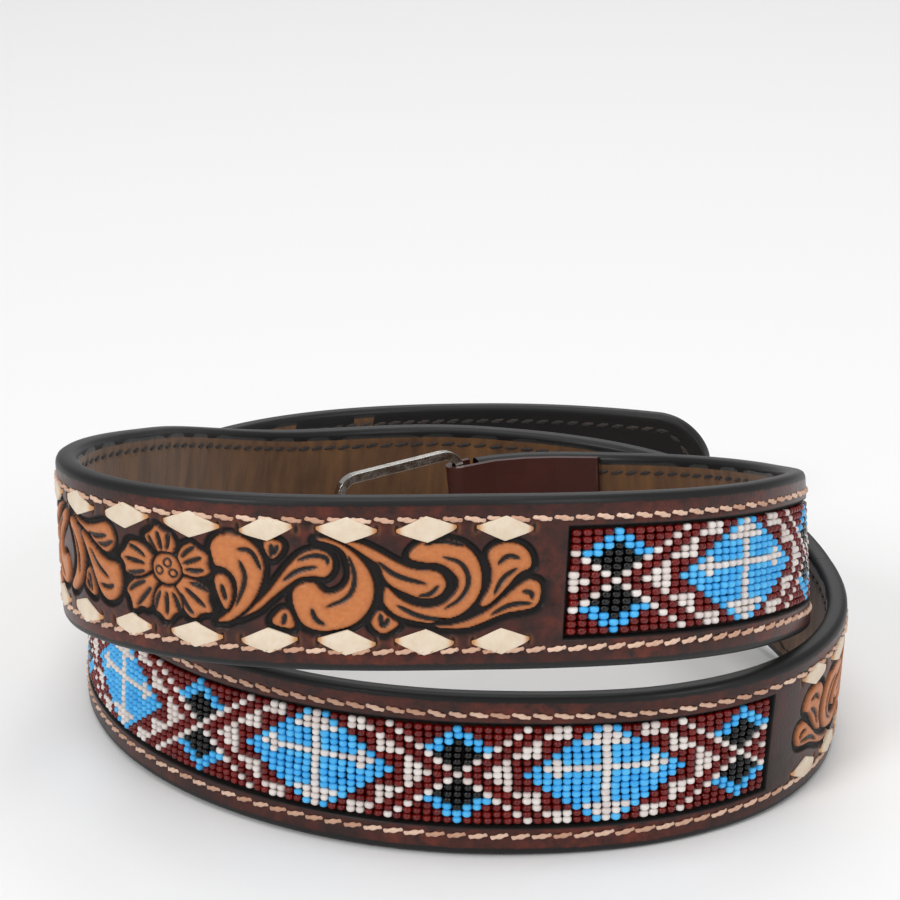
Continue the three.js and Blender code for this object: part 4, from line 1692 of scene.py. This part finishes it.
@dataclass
class Lacing:
    """Buckstitch diamonds of rawhide above and below a tooled field."""

    strap: Strap
    carving: Carving
    name: str
    half_length: float = 6.1
    half_height: float = 2.75
    crown: float = 0.55

    def build(self, hide: bpy.types.Material) -> list[bpy.types.Object]:
        """Laces the upper and the lower row.

        Args:
            hide: the rawhide material.

        Returns:
            The two rows.
        """
        return [self.row(hide, side) for side in (1, -1)]

    def row(self, hide: bpy.types.Material, side: int) -> bpy.types.Object:
        """Laces one row.

        Args:
            hide: the rawhide material.
            side: 1 for the upper row and -1 for the lower.

        Returns:
            The row's object.
        """
        level = "upper" if side > 0 else "lower"
        name = f"rawhide_diamonds_{self.name}_{level}"
        chance = np.random.default_rng(31 + side + len(self.name))
        lengthwise = np.linspace(-1, 1, 21)
        sideways = np.array([-1.0, -1.0, -0.9, -0.6, -0.3, 0.0, 0.3, 0.6, 0.9, 1.0, 1.0])
        shape = bmesh.new()
        for place in self.carving.lace_places():
            made = bmesh.ops.create_grid(shape, x_segments=20, y_segments=10, size=0.5)["verts"]
            tilt = chance.normal(0, 0.05)
            grow = 1 + chance.normal(0, 0.04)
            for vert in made:
                i, j = round((vert.co.x + 0.5) * 20), round((vert.co.y + 0.5) * 10)
                p, q = lengthwise[i], sideways[j]
                half = 0.3 + (self.half_height * grow - 0.3) * (1 - abs(p) ** 1.05)
                x, y = p * self.half_length * grow, q * half
                lip = 0.0 if j in (0, 10) else 1.0
                z = lip * (
                    0.4 + (self.crown - 0.4) * (1 - q**4) * (1 - p**4)
                ) - 0.75 * abs(p) ** 9 - (1 - lip) * 0.3
                spot = self.strap.place(
                    np.array([place + x - y * tilt]),
                    np.array([side * self.carving.lace_row + y + x * tilt]),
                    np.array([self.strap.face + z]),
                )
                vert.co = spot[0]
        mesh = bpy.data.meshes.new(name)
        shape.to_mesh(mesh)
        shape.free()
        self.mark(mesh, lengthwise)
        Sheet(name, lengthwise, 11, Face.OUTER).turn_out(mesh, self.strap)
        piece = finish_object(name, mesh)
        piece.data.materials.append(hide)
        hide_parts(f"lace_{self.name}_{level}")
        return piece

    def mark(self, mesh: bpy.types.Mesh, lengthwise: np.ndarray) -> None:
        """Marks each diamond's scuffed tips and lays its texture.

        Args:
            mesh: the row's mesh, its grids one after another.
            lengthwise: the grid's places along a diamond.
        """
        size = 21 * 11
        index = np.arange(len(mesh.vertices))
        p = lengthwise[(index % size) % 21]
        lone = index // size
        q = ((index % size) // 21) / 10 - 0.5
        tips = smooth(np.abs(p), 0.72, 0.98)
        mesh.attributes.new("tips", "FLOAT", "POINT").data.foreach_set("value", tips)
        corners = np.empty(len(mesh.loops), dtype=np.int32)
        mesh.loops.foreach_get("vertex_index", corners)
        flat = np.stack([lone * 16.4 + p * self.half_length, q * 2 * self.half_height], -1)
        mesh.uv_layers.new(name="strap_mm").data.foreach_set("uv", flat[corners].ravel())


@dataclass
class Studio:
    """A pale floor, soft lights and the camera."""

    floor_colour: str = "#f4f4f4"
    eye: tuple[float, float, float] = (-1.3, -604.7, 257.4)
    pitch: float = 0.310
    lens: float = 98.4

    def build(self) -> None:
        """Sets up the floor, the lights, the world and the camera."""
        self.floor()
        self.lamp("overhead_softbox", (0.0, -0.3, 3.0), 2.4, 42.0, (0.0, 0.0, 0.0))
        self.lamp("front_left_softbox", (-2.2, -2.6, 2.0), 1.2, 52.0, (0.0, 0.0, 0.05))
        self.lamp("front_right_softbox", (2.4, -2.3, 1.8), 1.5, 30.0, (0.0, 0.0, 0.05))
        self.lamp("rear_softbox", (0.3, 2.8, 2.0), 1.8, 14.0, (0.0, 0.0, 0.05))
        world = bpy.data.worlds.new("soft_room")
        world.use_nodes = True
        world.node_tree.nodes["Background"].inputs["Color"].default_value = linear("#ffffff")
        world.node_tree.nodes["Background"].inputs["Strength"].default_value = 0.4
        bpy.context.scene.world = world
        bpy.context.scene.view_settings.view_transform = "Standard"
        camera = bpy.data.objects.new("camera", bpy.data.cameras.new("camera"))
        camera.location = tuple(v * MM for v in self.eye)
        camera.rotation_euler = (math.pi / 2 - self.pitch, 0.0, 0.0)
        camera.data.lens = self.lens
        camera.data.sensor_width = 36.0
        camera.data.clip_start = 0.01
        bpy.context.scene.collection.objects.link(camera)
        bpy.context.scene.camera = camera

    def floor(self) -> None:
        """Lays the pale floor."""
        shape = bmesh.new()
        bmesh.ops.create_grid(shape, x_segments=1, y_segments=1, size=40.0)
        mesh = bpy.data.meshes.new("pale_floor")
        shape.to_mesh(mesh)
        shape.free()
        board = bpy.data.objects.new("pale_floor", mesh)
        board.location.z = -0.0001
        bpy.context.scene.collection.objects.link(board)
        made, tree = blank("matt_white_board")
        surface(tree, {"Base Color": linear(self.floor_colour), "Roughness": 0.7})
        mesh.materials.append(made)

    def lamp(
        self,
        name: str,
        spot: tuple[float, float, float],
        size: float,
        power: float,
        aim: tuple[float, float, float],
    ) -> None:
        """Hangs one soft square light.

        Args:
            name: the light's name.
            spot: where it hangs, in metres.
            size: its side, in metres.
            power: its power in watts.
            aim: the point that it faces.
        """
        data = bpy.data.lights.new(name, "AREA")
        data.size = size
        data.energy = power
        lamp = bpy.data.objects.new(name, data)
        lamp.location = spot
        bpy.context.scene.collection.objects.link(lamp)
        toward = [a - b for a, b in zip(aim, spot)]
        flat = math.hypot(toward[0], toward[1])
        lamp.rotation_euler = (math.atan2(flat, -toward[2]), 0.0, math.atan2(-toward[0], toward[1]))


@dataclass
class BuckleEnd:
    """The frame, the fold and the snaps, which keep their solid shapes."""

    nodes: dict[str, bpy.types.Object]

    def dress(self, leather: bpy.types.Material, metal: bpy.types.Material) -> None:
        """Gives each solid its material.

        Args:
            leather: the fold's.
            metal: the frame's and the snaps'.
        """
        for name in ("buckle_fold", "buckle", "fold_snap_1", "fold_snap_2"):
            node = self.nodes[name]
            finish = leather if name == "buckle_fold" else metal
            if not node.material_slots:
                node.data.materials.append(finish)
            for slot in node.material_slots:
                slot.material = finish
            weld = node.modifiers.new("weld", "WELD")
            weld.merge_threshold = 0.00002
            soften = node.modifiers.new("soften", "BEVEL")
            soften.width, soften.segments, soften.limit_method = 0.0004, 3, "ANGLE"
            LOG.info("%s: kept, with %s", name, finish.name)


def belt_fields() -> tuple[Carving, ...]:
    """The three tooled fields, which face the way that each shows."""
    return (
        Carving(241.5, 407.5, 322.5, -1.0, 10),
        Carving(596.4, 762.4, 679.4, 1.0, 10),
        Carving(995.0, 1083.0, 1039.0, -1.0, 5),
    )


def main() -> None:
    """Builds the belt piece by piece, then the room round it."""
    logging.basicConfig(level=logging.INFO, format="%(message)s")
    strap = Strap()
    fields = belt_fields()
    leather = OiledLeather().material()
    black = PlainLeather("black_finished", "#131212", "#1d1b1a", 0.38).material()
    cloth = PlainLeather("dark_backing", "#140907", "#221009", 0.8).material()
    fold = PlainLeather("dark_brown_fold", "#2a120d", "#4a2017", 0.4).material()
    metal = PolishedNickel().material()
    hide = Rawhide().material()
    glass = [
        SeedGlass("oxblood", "#5a0806", "#720f0a").material(),
        SeedGlass("chalk_white", "#e8e1dc", "#d8cbc6").material(),
        SeedGlass("turquoise_blue", "#38a8ea", "#56bef4").material(),
        SeedGlass("jet_black", "#030303", "#070708", 0.08).material(),
    ]
    carved = CarvedStrap(strap, fields)
    carved.build(leather)
    carved.hole_walls(black)
    Linings(strap).build(Suede().material(), black)
    windows = strap.window_ends()
    panels = (
        Loomwork(strap, "front", "bead_panel_front", *windows[0], 69, 64, False, 11),
        Loomwork(strap, "hidden", "bead_panel_hidden", *windows[1], 71, 5, False, 12),
        Loomwork(strap, "low", "bead_panel_low", *windows[2], 99, 3, False, 13),
    )
    for panel in panels:
        panel.build(glass, cloth)
    Stitching(strap).build(
        WaxedThread("cream", "#e6c5ae", "#bd8f74").material(),
        WaxedThread("dark", "#2c1d14", "#120c09").material(),
    )
    for carving, name in zip(fields, ("front", "low", "back")):
        Lacing(strap, carving, name).build(hide)
    BuckleEnd(frame["nodes"]).dress(fold, metal)
    Studio().build()


if __name__ == "__main__":
    main()
